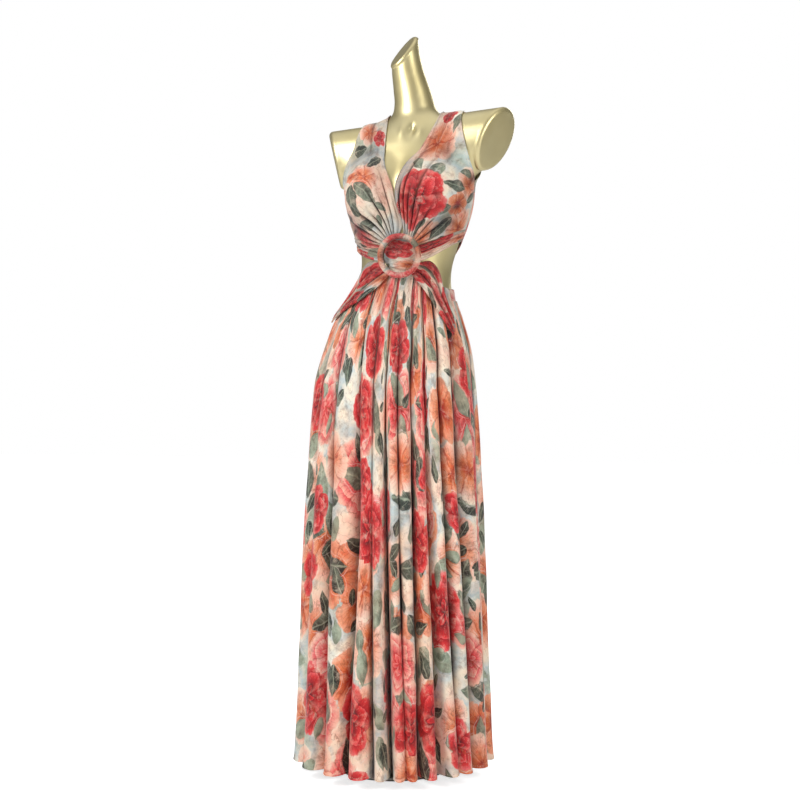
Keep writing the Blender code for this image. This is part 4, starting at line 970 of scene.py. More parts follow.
# ------------------------------------------------------------------ finishes
class Dye:
    """One value in a finish's nodes; sums and products of it add Math nodes."""

    def __init__(self, tree, socket):
        self.tree, self.socket = tree, socket

    def node(self, kind, entries, **traits):
        """A new node beside this value, with its entries joined or set."""
        node = self.tree.nodes.new("ShaderNode" + kind)
        for trait, value in traits.items():
            setattr(node, trait, value)
        feed(node, entries)
        return node

    def math(self, kind, *others):
        entries = dict(enumerate((self, *others)))
        return Dye(self.tree, self.node("Math", entries, operation=kind).outputs[0])

    def __add__(self, other):
        return self.math("ADD", other)

    def __sub__(self, other):
        return self.math("SUBTRACT", other)

    def __mul__(self, other):
        return self.math("MULTIPLY", other)

    def __truediv__(self, other):
        return self.math("DIVIDE", other)

    def abs(self):
        return self.math("ABSOLUTE")

    def fract(self):
        return self.math("FRACT")

    def past(self, start, end):
        """Nothing at start, one at end, with a soft rise or fall between."""
        entries = {"Value": self, "From Min": start, "From Max": end}
        node = self.node("MapRange", entries, interpolation_type="SMOOTHSTEP")
        return Dye(self.tree, node.outputs[0])

    def spread(self, stops):
        """Colours run along this value: each stop is a place and a colour."""
        node = self.node("ValToRGB", {0: self})
        elements = node.color_ramp.elements
        while len(elements) < len(stops):
            elements.new(0.5)
        for element, (place, colour) in zip(elements, stops):
            element.position = place
            element.color = linear(colour)
        return Dye(self.tree, node.outputs[0])

    def under(self, cover, top, kind="MIX"):
        """This colour with another laid over it where the cover is."""
        top = top if isinstance(top, Dye) else linear(top)
        entries = {0: cover, 6: self, 7: top}
        node = self.node("Mix", entries, data_type="RGBA", blend_type=kind)
        return Dye(self.tree, node.outputs[2])

    def parts(self):
        """The three numbers of this vector."""
        return [Dye(self.tree, out) for out in self.node("SeparateXYZ", {0: self}).outputs]

    def grain(self, scale, detail=2.0, rough=0.5):
        """Soft uneven variation over this place, about one half."""
        entries = {"Vector": self, "Scale": scale, "Detail": detail, "Roughness": rough}
        return Dye(self.tree, self.node("TexNoise", entries).outputs[0])

    def bump(self, strength, distance):
        """A surface normal raised by this height."""
        entries = {"Height": self, "Strength": strength, "Distance": distance}
        return Dye(self.tree, self.node("Bump", entries).outputs[0])


def feed(node, entries):
    """Join each of a node's entries to a value, or set it to a number or colour."""
    for entry, value in entries.items():
        if isinstance(value, Dye):
            value.tree.links.new(value.socket, node.inputs[entry])
        else:
            node.inputs[entry].default_value = value


def source(tree, kind, out, **traits):
    """A value that a new node with no entries gives."""
    node = tree.nodes.new("ShaderNode" + kind)
    for trait, value in traits.items():
        setattr(node, trait, value)
    return Dye(tree, node.outputs[out])


def joined(first, *others):
    """A vector of up to three numbers."""
    node = first.node("CombineXYZ", dict(enumerate((first, *others))))
    return Dye(first.tree, node.outputs[0])


def linear(colour):
    """A screen colour as the light it stands for."""
    light = [((c + 0.055) / 1.055) ** 2.4 if c > 0.04045 else c / 12.92 for c in colour]
    return light + [1]


def motif_view(u, v, layer):
    """Where a point lies in its motif, in radii and turned with it, and its traits."""
    place = source(u.tree, "Attribute", "Vector", attribute_name=layer + "_place")
    traits = source(u.tree, "Attribute", "Vector", attribute_name=layer + "_traits")
    middle_u, middle_v, radius = place.parts()
    turn, sort, chance = traits.parts()
    x, y = (u - middle_u) / radius, (v - middle_v) / radius
    c, s = turn.math("COSINE"), turn.math("SINE")
    return x * c + y * s, y * c - x * s, sort, chance


def painted_leaves(u, v, ground, layer):
    """Grey-green leaves with a light midrib, painted over the ground."""
    colours = dyes()
    along, side, sort, chance = motif_view(u, v, layer)
    wobble = joined(u, v).grain(55, 3)
    width = (along * along * -1.0 + 1.0).math("MAXIMUM", 0.0).math("POWER", 0.75)
    width = width * (along * 0.16 + 0.50) + (wobble - 0.5) * 0.10
    inside = (width - side.abs()).past(0.0, 0.07)
    shade = joined(u, v, chance).grain(34, 3) + side * 0.28 + (sort - 0.5) * 0.42
    paint = shade.spread([
        (0.22, colours.leaf_light), (0.48, colours.leaf), (0.80, colours.leaf_dark)])
    vein = ((along * 2.6 + side.abs() * 2.2).fract() - 0.5).abs().past(0.43, 0.49) * 0.45
    rib = side.abs().past(0.060, 0.020)
    paint = paint.under(vein.math("MAXIMUM", rib * 0.75), colours.leaf_light)
    line = (side.abs() - width - 0.10).abs().past(0.045, 0.012) * along.abs().past(1.1, 0.9)
    ground = ground.under(line * 0.28, colours.outline)
    return ground.under(inside * 0.96, paint)


def petals(tone, rings, sort):
    """The petals' colours by the sort of bloom, from the heart out."""
    colours = dyes()
    peach = tone.spread([
        (0.06, colours.orange_deep), (0.24, colours.orange), (0.48, colours.peach),
        (0.76, colours.blush), (1.0, colours.cream)])
    orange = tone.spread([
        (0.06, colours.crimson), (0.20, colours.orange_deep), (0.46, colours.orange),
        (0.88, colours.peach)])
    red = (tone * 0.55 + rings * 0.45).spread([
        (0.10, colours.wine), (0.32, colours.crimson), (0.62, colours.coral),
        (0.92, colours.pink)])
    pink = (tone * 0.6 + rings * 0.36).spread([
        (0.04, colours.crimson), (0.20, colours.coral), (0.44, colours.pink),
        (0.80, colours.blush)])
    paint = peach
    for kind, colour in ((ORANGE, orange), (RED, red), (PINK, pink)):
        paint = paint.under((sort - kind).abs().past(0.5, 0.4), colour)
    return paint


def painted_blooms(u, v, ground, layer):
    """Hibiscus and rose-like blooms of four sorts, painted over the ground."""
    colours = dyes()
    x, y, sort, chance = motif_view(u, v, layer)
    place = joined(u, v, chance)
    brush, ruffle = place.grain(26, 4, 0.6), place.grain(70, 2)
    away = (x * x + y * y).math("SQRT")
    turn = y.math("ARCTAN2", x)
    # Five petals round the heart, their edges notched and ruffled.
    petal = (turn * (5 / (2 * math.pi)) + (brush - 0.5) * 0.35 + chance * 5.0).fract()
    off = (petal - 0.5).abs() * 2.0
    edge = off.math("POWER", 3.0) * -0.20 + 0.98 + (ruffle - 0.5) * 0.22
    # Full blooms have rings of overlapping petals, the open ones a long throat.
    rings = (away * 2.7 + off * 0.6 + (brush - 0.5) * 0.8).fract()
    tone = away + (brush - 0.5) * 0.34 + (petal - 0.5) * 0.12
    paint = petals(tone, rings, sort)
    veins = ((turn * 7.0 + (brush - 0.5) * 3.0).fract() - 0.5).abs().past(0.36, 0.48)
    veins = veins * away.past(0.12, 0.3) * away.past(1.0, 0.6) * 0.34
    fold = off.past(0.86, 1.0) * away.past(0.10, 0.4) * 0.55
    paint = paint.under(veins.math("MAXIMUM", fold), colours.orange_deep, "MULTIPLY")
    light = petal.past(0.62, 0.86) * off.past(1.0, 0.7) * 0.14
    paint = paint.under(light, colours.cream, "SCREEN")
    stamen = y.abs().past(0.055, 0.02) * x.past(0.02, 0.06) * x.past(0.60, 0.5)
    paint = paint.under(stamen * 0.7, colours.orange_deep)
    fleck = joined(u, v, 7.0).grain(62, 3, 0.65).past(0.54, 0.64) * away.past(1.0, 0.5)
    paint = paint.under(fleck * 0.38, colours.orange_deep, "OVERLAY")
    outline = (away - edge - 0.02).abs().past(0.035, 0.008) * brush.past(0.48, 0.60)
    ground = ground.under(outline * 0.45, colours.outline)
    return ground.under((edge - away).past(0.0, 0.06), paint)


def washed(u, v, wash, ground):
    """Watery washes, dabs and fine pen lines that run over the whole print."""
    colours = dyes()
    pools = joined(u, v, 2.0).grain(34, 5, 0.66)
    ground = ground.under(pools.past(0.48, 0.68) * 0.60, colours.pool, "MULTIPLY")
    ground = ground.under(pools.past(0.47, 0.32) * 0.34, colours.cream)
    dabs = joined(u, v, 9.0).grain(110, 3, 0.6)
    ground = ground.under(dabs.past(0.53, 0.66) * 0.13, colours.leaf_dark, "OVERLAY")
    ground = ground.under(dabs.past(0.46, 0.34) * 0.10, colours.cream, "SCREEN")
    pen = (joined(u, v, 5.0).grain(17, 3, 0.5) * 7.0).fract()
    pen = (pen - 0.5).abs().past(0.045, 0.012) * wash.past(0.42, 0.58)
    ground = ground.under(pen * 0.45, colours.pen, "MULTIPLY")
    blot = joined(u, v, 13.0).grain(5.5, 3, 0.6).past(0.40, 0.60)
    return ground.under(blot * 0.60, colours.wash, "MULTIPLY")


def painted_fold_shade(u, v, ground):
    """Painted shade: the print darkened down in the cloth's folds, where the folds' own shade
    falls.
    """
    uneven = joined(u, v * 0.15, 11.0).grain(16, 2) * 0.9 + 0.15
    deep = source(u.tree, "Attribute", "Fac", attribute_name="fold_shade_depth")
    # Painted shade, unevenly strong, from how deep each point lies in a fold.
    deep = deep.past(-0.55, 0.72) * uneven * 1.85
    # Two layers of painted shade: a broad one, and a darker one at the valleys' bottoms.
    ground = ground.under(deep * 0.92, dyes().shade, "MULTIPLY")
    return ground.under(deep.past(0.46, 1.0) * 0.94, dyes().shade, "MULTIPLY")


def finish(paint):
    """Make a material, named as the function that gives its shader's entries, once."""
    @wraps(paint)
    def made():
        material = bpy.data.materials.get(paint.__name__)
        if not material:
            material = bpy.data.materials.new(paint.__name__)
            material.use_nodes = True
            tree = material.node_tree
            feed(tree.nodes["Principled BSDF"], paint(tree))
        return material
    return made


@finish
def printed_crepe(tree):
    """Fine crepe with a painted print of blooms and leaves."""
    colours = dyes()
    flat = source(tree, "UVMap", 0, uv_map="flat_cloth")
    u, v, _ = flat.parts()
    wash = flat.grain(7.5, 3, 0.55)
    ground = wash.spread([
        (0.34, colours.sage), (0.45, colours.mist), (0.55, colours.cream),
        (0.66, colours.blush)])
    strokes = joined(u * 0.5, v * 1.8).grain(60, 4, 0.6)
    ground = ground.under(strokes.past(0.35, 0.75) * 0.35, colours.cream)
    # The painter's hand is not quite steady.
    swayed_u = u + (flat.grain(22, 2) - 0.5) * 0.022
    swayed_v = v + (joined(v, u, 3.7).grain(22, 2) - 0.5) * 0.022
    for layer, paint in (("under", painted_blooms), ("leaf", painted_leaves),
                         ("top", painted_blooms), ("sprig", painted_leaves)):
        ground = paint(swayed_u, swayed_v, ground, layer)
    thread = 2 * math.pi / settings().thread_pitch
    weave = (u * thread).math("SINE") * (v * thread).math("SINE") * 0.5
    return {
        "Base Color": painted_fold_shade(u, v, washed(u, v, wash, ground)),
        "Roughness": flat.grain(240, 2) * 0.16 + 0.46,
        "Normal": (weave + flat.grain(420, 3) * 1.2).bump(0.22, 0.0004),
        "Sheen Weight": 0.25,
        "Sheen Roughness": 0.45,
        "Specular IOR Level": 0.35,
    }


@finish
def sewing_thread(tree):
    """Matt thread, pale as the cream of the print."""
    twist = source(tree, "TexCoord", "Object").grain(900, 2)
    tone = twist.spread([(0.3, dyes().blush), (0.7, dyes().cream)])
    return {"Base Color": tone, "Roughness": twist * 0.2 + 0.6}


@finish
def champagne_lacquer(tree):
    """Champagne gold lacquer of the moulded form."""
    colours = dyes()
    place = source(tree, "TexCoord", "Object")
    golds = [(0.30, colours.gold_deep), (0.70, colours.gold)]
    return {
        "Base Color": place.grain(9, 3).spread(golds),
        "Roughness": place.grain(34, 3) * 0.10 + 0.35,
        "Normal": place.grain(260, 2).bump(0.06, 0.0006),
        "Metallic": 0.88,
        "Coat Weight": 0.25,
        "Coat Roughness": 0.10,
    }


@finish
def brushed_steel(tree):
    """Brushed steel of the pole and foot."""
    x, y, z = source(tree, "TexCoord", "Object").parts()
    away = (x * x + y * y).math("SQRT")
    brush = joined(away * 60.0, z * 60.0).grain(14, 3)
    tone = brush.spread([(0.3, dyes().steel_deep), (0.7, dyes().steel)])
    return {"Base Color": tone, "Roughness": brush * 0.22 + 0.26, "Metallic": 0.95}


@finish
def studio_floor(tree):
    """Pale floor, a little brighter to the camera so that it has no edge."""
    return {
        "Base Color": linear(dyes().floor),
        "Roughness": 0.9,
        "Emission Color": (1, 1, 1, 1),
        "Emission Strength": source(tree, "LightPath", 0) * 0.75,
    }


# ------------------------------------------------------------------ the dress form
def cut_round(work, point, normal, edge):
    """Cut the form by a plane and close it with a flat whose edge is rounded over."""
    near = [v for v in work.verts if (v.co - Vector(point)).length < CUT_REACH]
    around = set(near)
    near += [part for part in (*work.edges, *work.faces) if around.issuperset(part.verts)]
    bmesh.ops.bisect_plane(
        work, geom=near, dist=0.0002, plane_co=point - normal * edge, plane_no=normal,
        clear_outer=True,
    )
    rim = [line for line in work.edges if line.is_boundary]
    corners = list(dict.fromkeys(v for line in rim for v in line.verts))
    middle = sum((v.co for v in corners), start=Vector()) / len(corners)
    loops = [{v: v for v in corners}]
    for turn in np.linspace(0, math.pi / 2, CUT_STEPS + 1)[1:]:
        up = Vector(normal) * edge * math.sin(turn)
        inset = edge * (1 - math.cos(turn))
        loops.append({
            v: work.verts.new(v.co + up + (middle - v.co).normalized() * inset)
            for v in corners})
    top = middle + Vector(normal) * edge
    last = loops[-1]
    for share in (0.6, 0.3):
        loops.append({v: work.verts.new(top + (last[v].co - top) * share) for v in corners})
    centre = work.verts.new(top)
    for line in rim:
        a, b = line.verts
        for outer, inner in zip(loops[:-1], loops[1:]):
            work.faces.new((outer[a], outer[b], inner[b], inner[a]))
        work.faces.new((loops[-1][a], loops[-1][b], centre))


def closed_rings(rings):
    """Vertices and faces of rings of points closed at both ends."""
    count, columns = rings.shape[:2]
    vertices = list(rings.reshape(-1, 3)) + [rings[0].mean(axis=0), rings[-1].mean(axis=0)]
    here = np.arange(count * columns).reshape(count, columns)
    after = np.roll(here, -1, axis=1)
    walls = np.stack((here[:-1], after[:-1], after[1:], here[1:]), axis=-1)
    faces = walls.reshape(-1, 4).tolist()
    low, high = count * columns, count * columns + 1
    for a, b, c, d in zip(after[0], here[0], here[-1], after[-1]):
        faces += [[low, a, b], [high, c, d]]
    return vertices, faces


def turned(name, profile, slot, node, sides):
    """A solid turned in steel about the upright line through the floor's middle."""
    turn = np.arange(sides) * 2 * math.pi / sides
    rings = [
        np.stack((r * np.cos(turn), r * np.sin(turn), np.full(sides, z)), axis=-1)
        for r, z in profile
    ]
    vertices, faces = closed_rings(np.array(rings))
    add_piece(name, vertices, faces, brushed_steel(), [node], sharp=40)


def rounded(radius, z, edge, way, steps=4):
    """Profile points of a rounded corner; way is 1 for a top one and -1 for a bottom one."""
    middle = z - way * edge
    turns = np.linspace(0, math.pi / 2, steps + 1)[::way]
    return [
        (radius - edge + edge * math.cos(t), middle + way * edge * math.sin(t)) for t in turns
    ]


def torso():
    """The limbless form: its skin cut off at the neck and arms, with a hollow throat."""
    vertices, faces = closed_rings(form_surface())
    mesh = bpy.data.meshes.new("form_shape")
    mesh.from_pydata([tuple(v) for v in vertices], [], faces)
    work = bmesh.new()
    work.from_mesh(mesh)
    bpy.data.meshes.remove(mesh)
    for cut in form_cuts():
        cut_round(work, *cut)
    bmesh.ops.recalc_face_normals(work, faces=work.faces)
    work.verts.index_update()
    vertices = np.array([v.co[:] for v in work.verts])
    faces = [[v.index for v in face.verts] for face in work.faces]
    work.free()
    across = (vertices[:, 0] - THROAT[0]) / THROAT_WIDTH
    up = (vertices[:, 2] - THROAT[1]) / THROAT_HEIGHT
    bones = COLLARBONES[1] * np.exp(-((np.abs(across) - COLLARBONES[0]) ** 2) - up**2)
    dent = np.exp(-(across**2) - up**2) - bones
    vertices[:, 1] += THROAT_DEPTH * dent * (vertices[:, 1] < 0)
    lacquer = champagne_lacquer()
    add_piece("torso", vertices, faces, lacquer, ["form_torso"], sharp=35)


def pole_and_foot():
    """The steel pole with the flange that it is screwed on by, and its round foot."""
    top = FORM_BOTTOM_Z - CLEAR
    flange = top - POLE_FLANGE
    pole = [(POLE_RADIUS, BASE_THICK + CLEAR), (POLE_RADIUS, flange)]
    pole += rounded(POLE_FLANGE_RADIUS, flange, POLE_EDGE, -1)
    pole += rounded(POLE_FLANGE_RADIUS, top, POLE_EDGE, 1)
    turned("pole", pole, "foot_steel", "form_pole", sides=64)
    foot = rounded(BASE_RADIUS, 0, BASE_EDGE, -1)
    foot += rounded(BASE_RADIUS, BASE_THICK, BASE_EDGE, 1)
    turned("foot", foot, "foot_steel", "form_base", sides=128)


# ------------------------------------------------------------------ cloth on the form
def ring_place():
    """The middle of the ring's tube circle and its three directions."""
    guess = np.array([RING_MIDDLE[0], -0.12, RING_MIDDLE[1]])
    middle = onto_form(guess, RING_STAND_OFF)
    middle[[0, 2]] = RING_MIDDLE
    forward = unit(form_slope(middle))
    left = unit(np.cross(forward, (0, 0, 1.0)))
    left = left if left[0] > 0 else -left
    up = np.cross(left, forward)
    up = up if up[2] > 0 else -up
    return middle, forward, left, up


def behind_ring(points, lift):
    """Move points straight back, the way the ring faces, to a lift above the form."""
    forward = ring_place()[1]
    # The way back is a little slanted to the form, so a step is longer than the gap.
    for _ in range(12):
        points = points - ((form_gap(points) - lift) / 0.9)[..., None] * forward
    return points


def round_ring(degrees, radius):
    """Points of the form's cover at a radius behind the ring."""
    middle, _, left, up = ring_place()
    turn = np.radians(degrees)
    across = np.cos(turn)[..., None] * left + np.sin(turn)[..., None] * up
    return behind_ring(middle + radius * across, LIFT)


def along(points, shares):
    """Points at shares of the length of a smooth line through the given points."""
    points = np.asarray(points, float)
    run = run_along(points)
    run /= run[-1]
    columns = [smooth_table(shares, np.column_stack((run, points[:, k]))) for k in range(3)]
    return np.stack(columns, axis=-1)


def round_arm(points):
    """Set points above the form along lines that run straight out of the arm's axis."""
    points = np.array(points, float)
    axis = np.array(points)
    axis[:, 1] = SHOULDER_MIDDLE[1]
    axis[:, 2] = SHOULDER_MIDDLE[2] + SHOULDER_ROLL * (points[:, 0] - SHOULDER_MIDDLE[0])
    away = points - axis
    away /= np.linalg.norm(away, axis=1)[:, None]
    for _ in range(20):
        points = points - 0.7 * (form_gap(points) - LIFT)[:, None] * away
    return points


def far_edge(shares, side, low_z, behind=False):
    """The edge away from the ring or the waist: shoulder seam, armhole, side seam. The
    back's armhole is the front's, mirrored behind the shoulder seam."""
    seam = SEAM if behind else -SEAM
    armhole = np.array(ARMHOLE[side])
    if behind:
        armhole[:-1, 1] = 2 * armhole[0, 1] - armhole[:-1, 1]
    armhole = round_arm(armhole) + (0, seam, 0)
    shoulder_in = np.array(SHOULDER_IN[side]) + (0, seam, 0)
    underarm = armhole[-1]
    low = np.array([side_point(side, low_z), seam, low_z])
    points = []
    for share in shares:
        if share <= SHOULDER_SHARE:
            part = share / SHOULDER_SHARE
            points.append(shoulder_in + (armhole[0] - shoulder_in) * part)
        elif share <= ARMHOLE_SHARE:
            part = (share - SHOULDER_SHARE) / (ARMHOLE_SHARE - SHOULDER_SHARE)
            points.append(along(armhole, part))
        else:
            part = (share - ARMHOLE_SHARE) / (1 - ARMHOLE_SHARE)
            points.append(underarm + (low - underarm) * part)
    return np.array(points)


def fan(near, far, first, last, out, side, bulge):
    """Guide points from a near edge to a far edge, between two lines that are given."""
    grid = near[None] + (far - near)[None] * out[:, None, None]
    columns = np.linspace(0, 1, near.shape[0])
    way = (side * SIDE_BULGE * columns, bulge[0] + bulge[1] * columns, 0 * columns)
    grid = grid + (4 * out * (1 - out))[:, None, None] * np.stack(way, axis=-1)
    across = columns[None, :, None]
    first_shift = (first - grid[:, 0])[:, None]
    last_shift = (last - grid[:, -1])[:, None]
    return grid + (1 - across) ** 2 * first_shift + across**2 * last_shift


def side_point(side, z):
    """How far across the side of the trunk is at a height."""
    wide = smooth_table(z, TRUNK, HALF_WIDTH) + LIFT
    return float(smooth_table(z, TRUNK, MIDDLE) + side * wide)


def under_line(side, start, end, out):
    """The line on the form from the ring out under the bust to the side seam."""
    straight = start + (end - start) * out[:, None]
    swell = (4 * out * (1 - out))[:, None] * (np.array(UNDER_BULGE) * (side, 1, 1))
    return onto_form(straight + swell, LIFT)


def evened(guides, evenings=6):
    """Guide points evened out over the form, their edges held."""
    grid = np.array(guides)
    for _ in range(evenings):
        around = grid[:-2, 1:-1] + grid[2:, 1:-1] + grid[1:-1, :-2] + grid[1:-1, 2:]
        grid[1:-1, 1:-1] = around / 4
        grid = onto_form(grid, LIFT)
    return grid


def tucks(share, edges):
    """Rounded tucks across a band, each one dropping sharply at its lower edge."""
    shape = np.zeros_like(share)
    for start, end in zip(edges[:-1], edges[1:]):
        part = (share - start) / (end - start)
        inside = (part >= 0) & (part <= 1)
        up = np.sin(np.clip(part / TUCK_CREST, 0, 1) * math.pi / 2)
        fall = np.sqrt(np.clip((1 - part) / (1 - TUCK_CREST), 0, 1))
        shape = np.where(inside, up * fall, shape)
    return shape


def creased(across, out, size, table):
    """Relief of a table of soft creases, in metres, over a piece's shares."""
    width, length = size
    relief = 0
    place = np.stack((across * width, out * length), axis=-1)
    for c in table:
        start = np.array((c.across * width, c.out * length))
        end = np.array((c.across_end * width, c.out_end * length))
        way = unit(end - start)
        long = np.linalg.norm(end - start)
        run = (place - start) @ way / long
        off = (place - start) @ np.array((-way[1], way[0])) - c.bow * 4 * run * (1 - run)
        # A crease deepens over its first quarter and fades over its last part.
        ends = rise(run, -0.05, 0.25) * rise(-run, -1.05, -0.60)
        relief = relief - c.depth * ends * np.exp(-((off / c.width) ** 2))
    return relief


def on_ring(side, leaves, columns):
    """Points behind the ring where a piece leaves it, between two angles."""
    turn = leaves[0] + (leaves[1] - leaves[0]) * columns
    return round_ring(turn if side > 0 else 180 - turn, GATHER_RADIUS)


def cup_grid(side):
    """Coarse guide grid of a front, as the frame's solid has it."""
    columns, out = np.linspace(0, 1, 17), np.linspace(0, 1, 13)
    near = on_ring(side, CUP_LEAVES, columns)
    far = far_edge(columns, side, SIDE_LOW[side])
    edge = [(x, float(smooth_table(z, NECK_FORWARD)), z) for z, x in NECK_EDGE[side]]
    first = along(onto_form([near[0]] + edge + [far[0]], LIFT), out)
    last = under_line(side, near[-1], far[-1], out)
    return evened(fan(near, far, first, last, out, side, CUP_BULGE))


def back_grid(side):
    """Coarse guide grid of half of the back."""
    columns, out = np.linspace(0, 1, 13), np.linspace(0, 1, 14)
    angles = 180 - side * BACK_WAIST_HALF * columns
    near = onto_form(hoop_point(angles, waist_height(angles) + 2 * SEAM), LIFT, level=True)
    near[0, 0] = smooth_table(near[0, 2], TRUNK) + side * SEAM
    far = far_edge(columns, side, BAND_LOW[side], behind=True)
    neck = [near[0]]
    for z, open_half in BACK_NECK:
        neck.append((float(smooth_table(z, TRUNK)) + side * (open_half + SEAM), 0.09, z))
    neck = np.array(neck + [far[0]])
    laid = onto_form(neck, LIFT)
    # The middle seam stays straight up to where the back is cut low.
    laid[:BACK_SEAM_POINTS, 0] = neck[:BACK_SEAM_POINTS, 0]
    cut_out = [near[-1]]
    for angle, drop in BACK_CUT_OUT:
        cut_out.append(hoop_point(side * angle, far[-1, 2] - drop))
    last = along(onto_form(cut_out + [far[-1]], LIFT, level=True), out)
    return evened(fan(near, far, along(laid, out), last, out, side, BACK_BULGE))


# ------------------------------------------------------------------ the dress's pieces
def front(side, end):
    """One front with its strap, gathered into the ring."""
    name, sizes = f"front_{end}", settings()
    grid = refine(cup_grid(side), *CUP_MESH)
    across, out = shares_of(grid)
    size = size_of(grid)
    creases = CUP_CREASES
    if side < 0:
        # The creases that leave the ring are mirrored, the soft ones beyond are not.
        creases = [
            c._replace(across=1 - c.across, across_end=1 - c.across_end, bow=-c.bow)
            if c.out < 0 else c for c in CUP_CREASES]
    relief = creased(across, out, size, creases)
    swell = CUP_SWELL * np.exp(-((out / 0.22) ** 2)) * np.sin(math.pi * across) ** 0.4
    strap = rise(out, 0.86, 1.0) * rise(across, 0.26, 0.34) * (1 - rise(across, 0.72, 0.78))
    free = 1 - rise(across, 0.0, 0.10) * (1 - strap)
    lift = LIFT + CLEAR + swell + relief - (LIFT - sizes.edge_lift) * free
    grid = onto_form(grid, np.maximum(lift, LEAST_LIFT))
    flat = flat_of(grid, CUT_FROM[name], gathered=CUP_GATHERED)
    piece = sew(name, grid, flat, f"cup_{end}", rolls=(0, 0, sizes.hem_roll, 0))
    declare_sheet(grid, size)
    share = np.linspace(0, 1, grid.shape[1])
    on_armhole = (share > SHOULDER_SHARE) & (share < ARMHOLE_SHARE)
    stitch(f"neckline_stitches_{end}", grid[6:], (1, 0))
    stitch(f"armhole_stitches_{end}", grid[:, on_armhole], (0, -1))


def back(side, end):
    """Half of the back, cut low between the shoulders."""
    name, roll = f"back_bodice_{end}", settings().hem_roll
    grid = refine(back_grid(side), *BACK_MESH)
    size = size_of(grid)
    relief = creased(*shares_of(grid), size, BACK_CREASES)
    grid = onto_form(grid, np.maximum(BACK_LIFT + relief, LEAST_LIFT))
    flat = flat_of(grid, CUT_FROM[name])
    piece = sew(name, grid, flat, f"back_{end}", rolls=(0, 0, roll, roll))
    declare_sheet(grid, size)
    stitch(f"back_edge_stitches_{end}", grid, (1, 0))
    stitch(f"back_armhole_stitches_{end}", grid, (1, -1))


def full_turn(start, gap, count):
    """Angles of a full turn in radians, open by a gap in degrees at each end."""
    return np.radians(np.linspace(start + gap, start + 360 - gap, count))


def ring_cover():
    """Cloth sewn round the ring, with its lengthwise seam at the back."""
    middle, forward, left, up = ring_place()
    turn = full_turn(RING_START, 0.1, RING_MESH[1])[None]
    tilt = full_turn(-90, 0.6, RING_MESH[0])[:, None]
    puckers = np.sin(46 * turn + 1.6 * np.sin(3 * turn)) * (1 - 0.6 * np.cos(tilt))
    tube = RING_TUBE - settings().cloth / 2 + RING_PUCKER * puckers
    radius = RING_RADIUS + tube * np.cos(tilt)
    circle = np.cos(turn)[..., None] * left + np.sin(turn)[..., None] * up
    away = circle * np.cos(tilt)[..., None] + np.sin(tilt)[..., None] * forward
    grid = middle + radius[..., None] * circle + (tube * np.sin(tilt))[..., None] * forward
    start = CUT_FROM["ring_cover"]
    u, v = np.broadcast_arrays(turn * RING_RADIUS + start[0], tilt * RING_TUBE + start[1])
    flat = np.stack((u, v), axis=-1)
    piece = sew("ring_cover", grid, flat, "ring", outward=away)
    size = (2 * math.pi * RING_RADIUS, 2 * math.pi * RING_TUBE)
    declare_sheet(grid, size)


def ring_folds():
    """The folded cloth that is drawn through the ring and lies behind it."""
    middle, forward, left, up = ring_place()
    across = np.linspace(-1, 1, DRAPE_MESH)
    u, v = np.meshgrid(across, across)
    disc_u, disc_v = u * np.sqrt(1 - v**2 / 2), v * np.sqrt(1 - u**2 / 2)
    guides = middle + DRAPE_RADIUS * (disc_u[..., None] * left + disc_v[..., None] * up)
    away = np.hypot(disc_u, disc_v)
    line = 1.6 * disc_v + 0.35 * disc_u
    pleats = DRAPE_PLEATS[0] * np.cos(2 * math.pi * line)
    pleats = pleats + DRAPE_PLEATS[1] * np.cos(2 * math.pi * 2.7 * line + 1)
    lift = LIFT + DRAPE_LIFT + DRAPE_SWELL * (1 - away**2) + pleats * (1 - away**4)
    grid = behind_ring(guides, lift)
    flat = np.stack((disc_u * 0.05, disc_v * 0.09), axis=-1) + CUT_FROM["ring_folds"]
    piece = sew("ring_folds", grid, flat, "ring_drape", outward=grid * 0 + forward)
    declare_sheet(grid, (2 * DRAPE_RADIUS, 2 * DRAPE_RADIUS))


def under_bust_band(side, end):
    """A pleated band from the ring out under the bust to the side seam."""
    name = f"under_bust_band_{end}"
    columns, out = np.linspace(0, 1, 15), np.linspace(0, 1, 13)
    near = on_ring(side, UNDER_BAND_LEAVES, columns)
    high = SIDE_LOW[side] - 3 * SEAM
    heights = high + (BAND_LOW[side] - high) * columns
    far = np.array([(side_point(side, z), -SEAM, z) for z in heights])
    first = under_line(side, near[0], far[0], out)
    last = under_line(side, near[-1], far[-1], out)
    share = columns[None, :, None]
    guides = first[:, None] * (1 - share) + last[:, None] * share
    guides = guides + ((1 - out) ** 3)[:, None, None] * (near - guides[0])
    grid = refine(evened(guides), *UNDER_BAND_MESH)
    across, out = shares_of(grid)
    fine = UNDER_FINE * np.cos(2 * math.pi * (5.2 * across + 0.8 * out)) * (1 - 0.5 * out)
    pleats = UNDER_PLEAT * (1 - 0.35 * out) * tucks(across, UNDER_TUCKS)
    grid = onto_form(grid, LIFT + CLEAR + pleats + fine)
    flat = flat_of(grid, CUT_FROM[name], ease=3.0)
    piece = sew(name, grid, flat, f"under_band_{end}")
    declare_sheet(grid, size_of(grid))


def hip_edge(start, table):
    """One edge of a hip band from the ring on, as angles and heights on the skirt."""
    middle = float(smooth_table(start[2], SKIRT, MIDDLE))
    angle = math.degrees(math.atan2(start[0] - middle, -start[1]))
    line = np.array([(angle, start[2], 0)] + [(a, z, 0) for a, z in table], float)
    out = np.linspace(0, 1, HIP_BAND_MESH[0])
    return along(line * DEGREE_AS_LENGTH, out) / DEGREE_AS_LENGTH


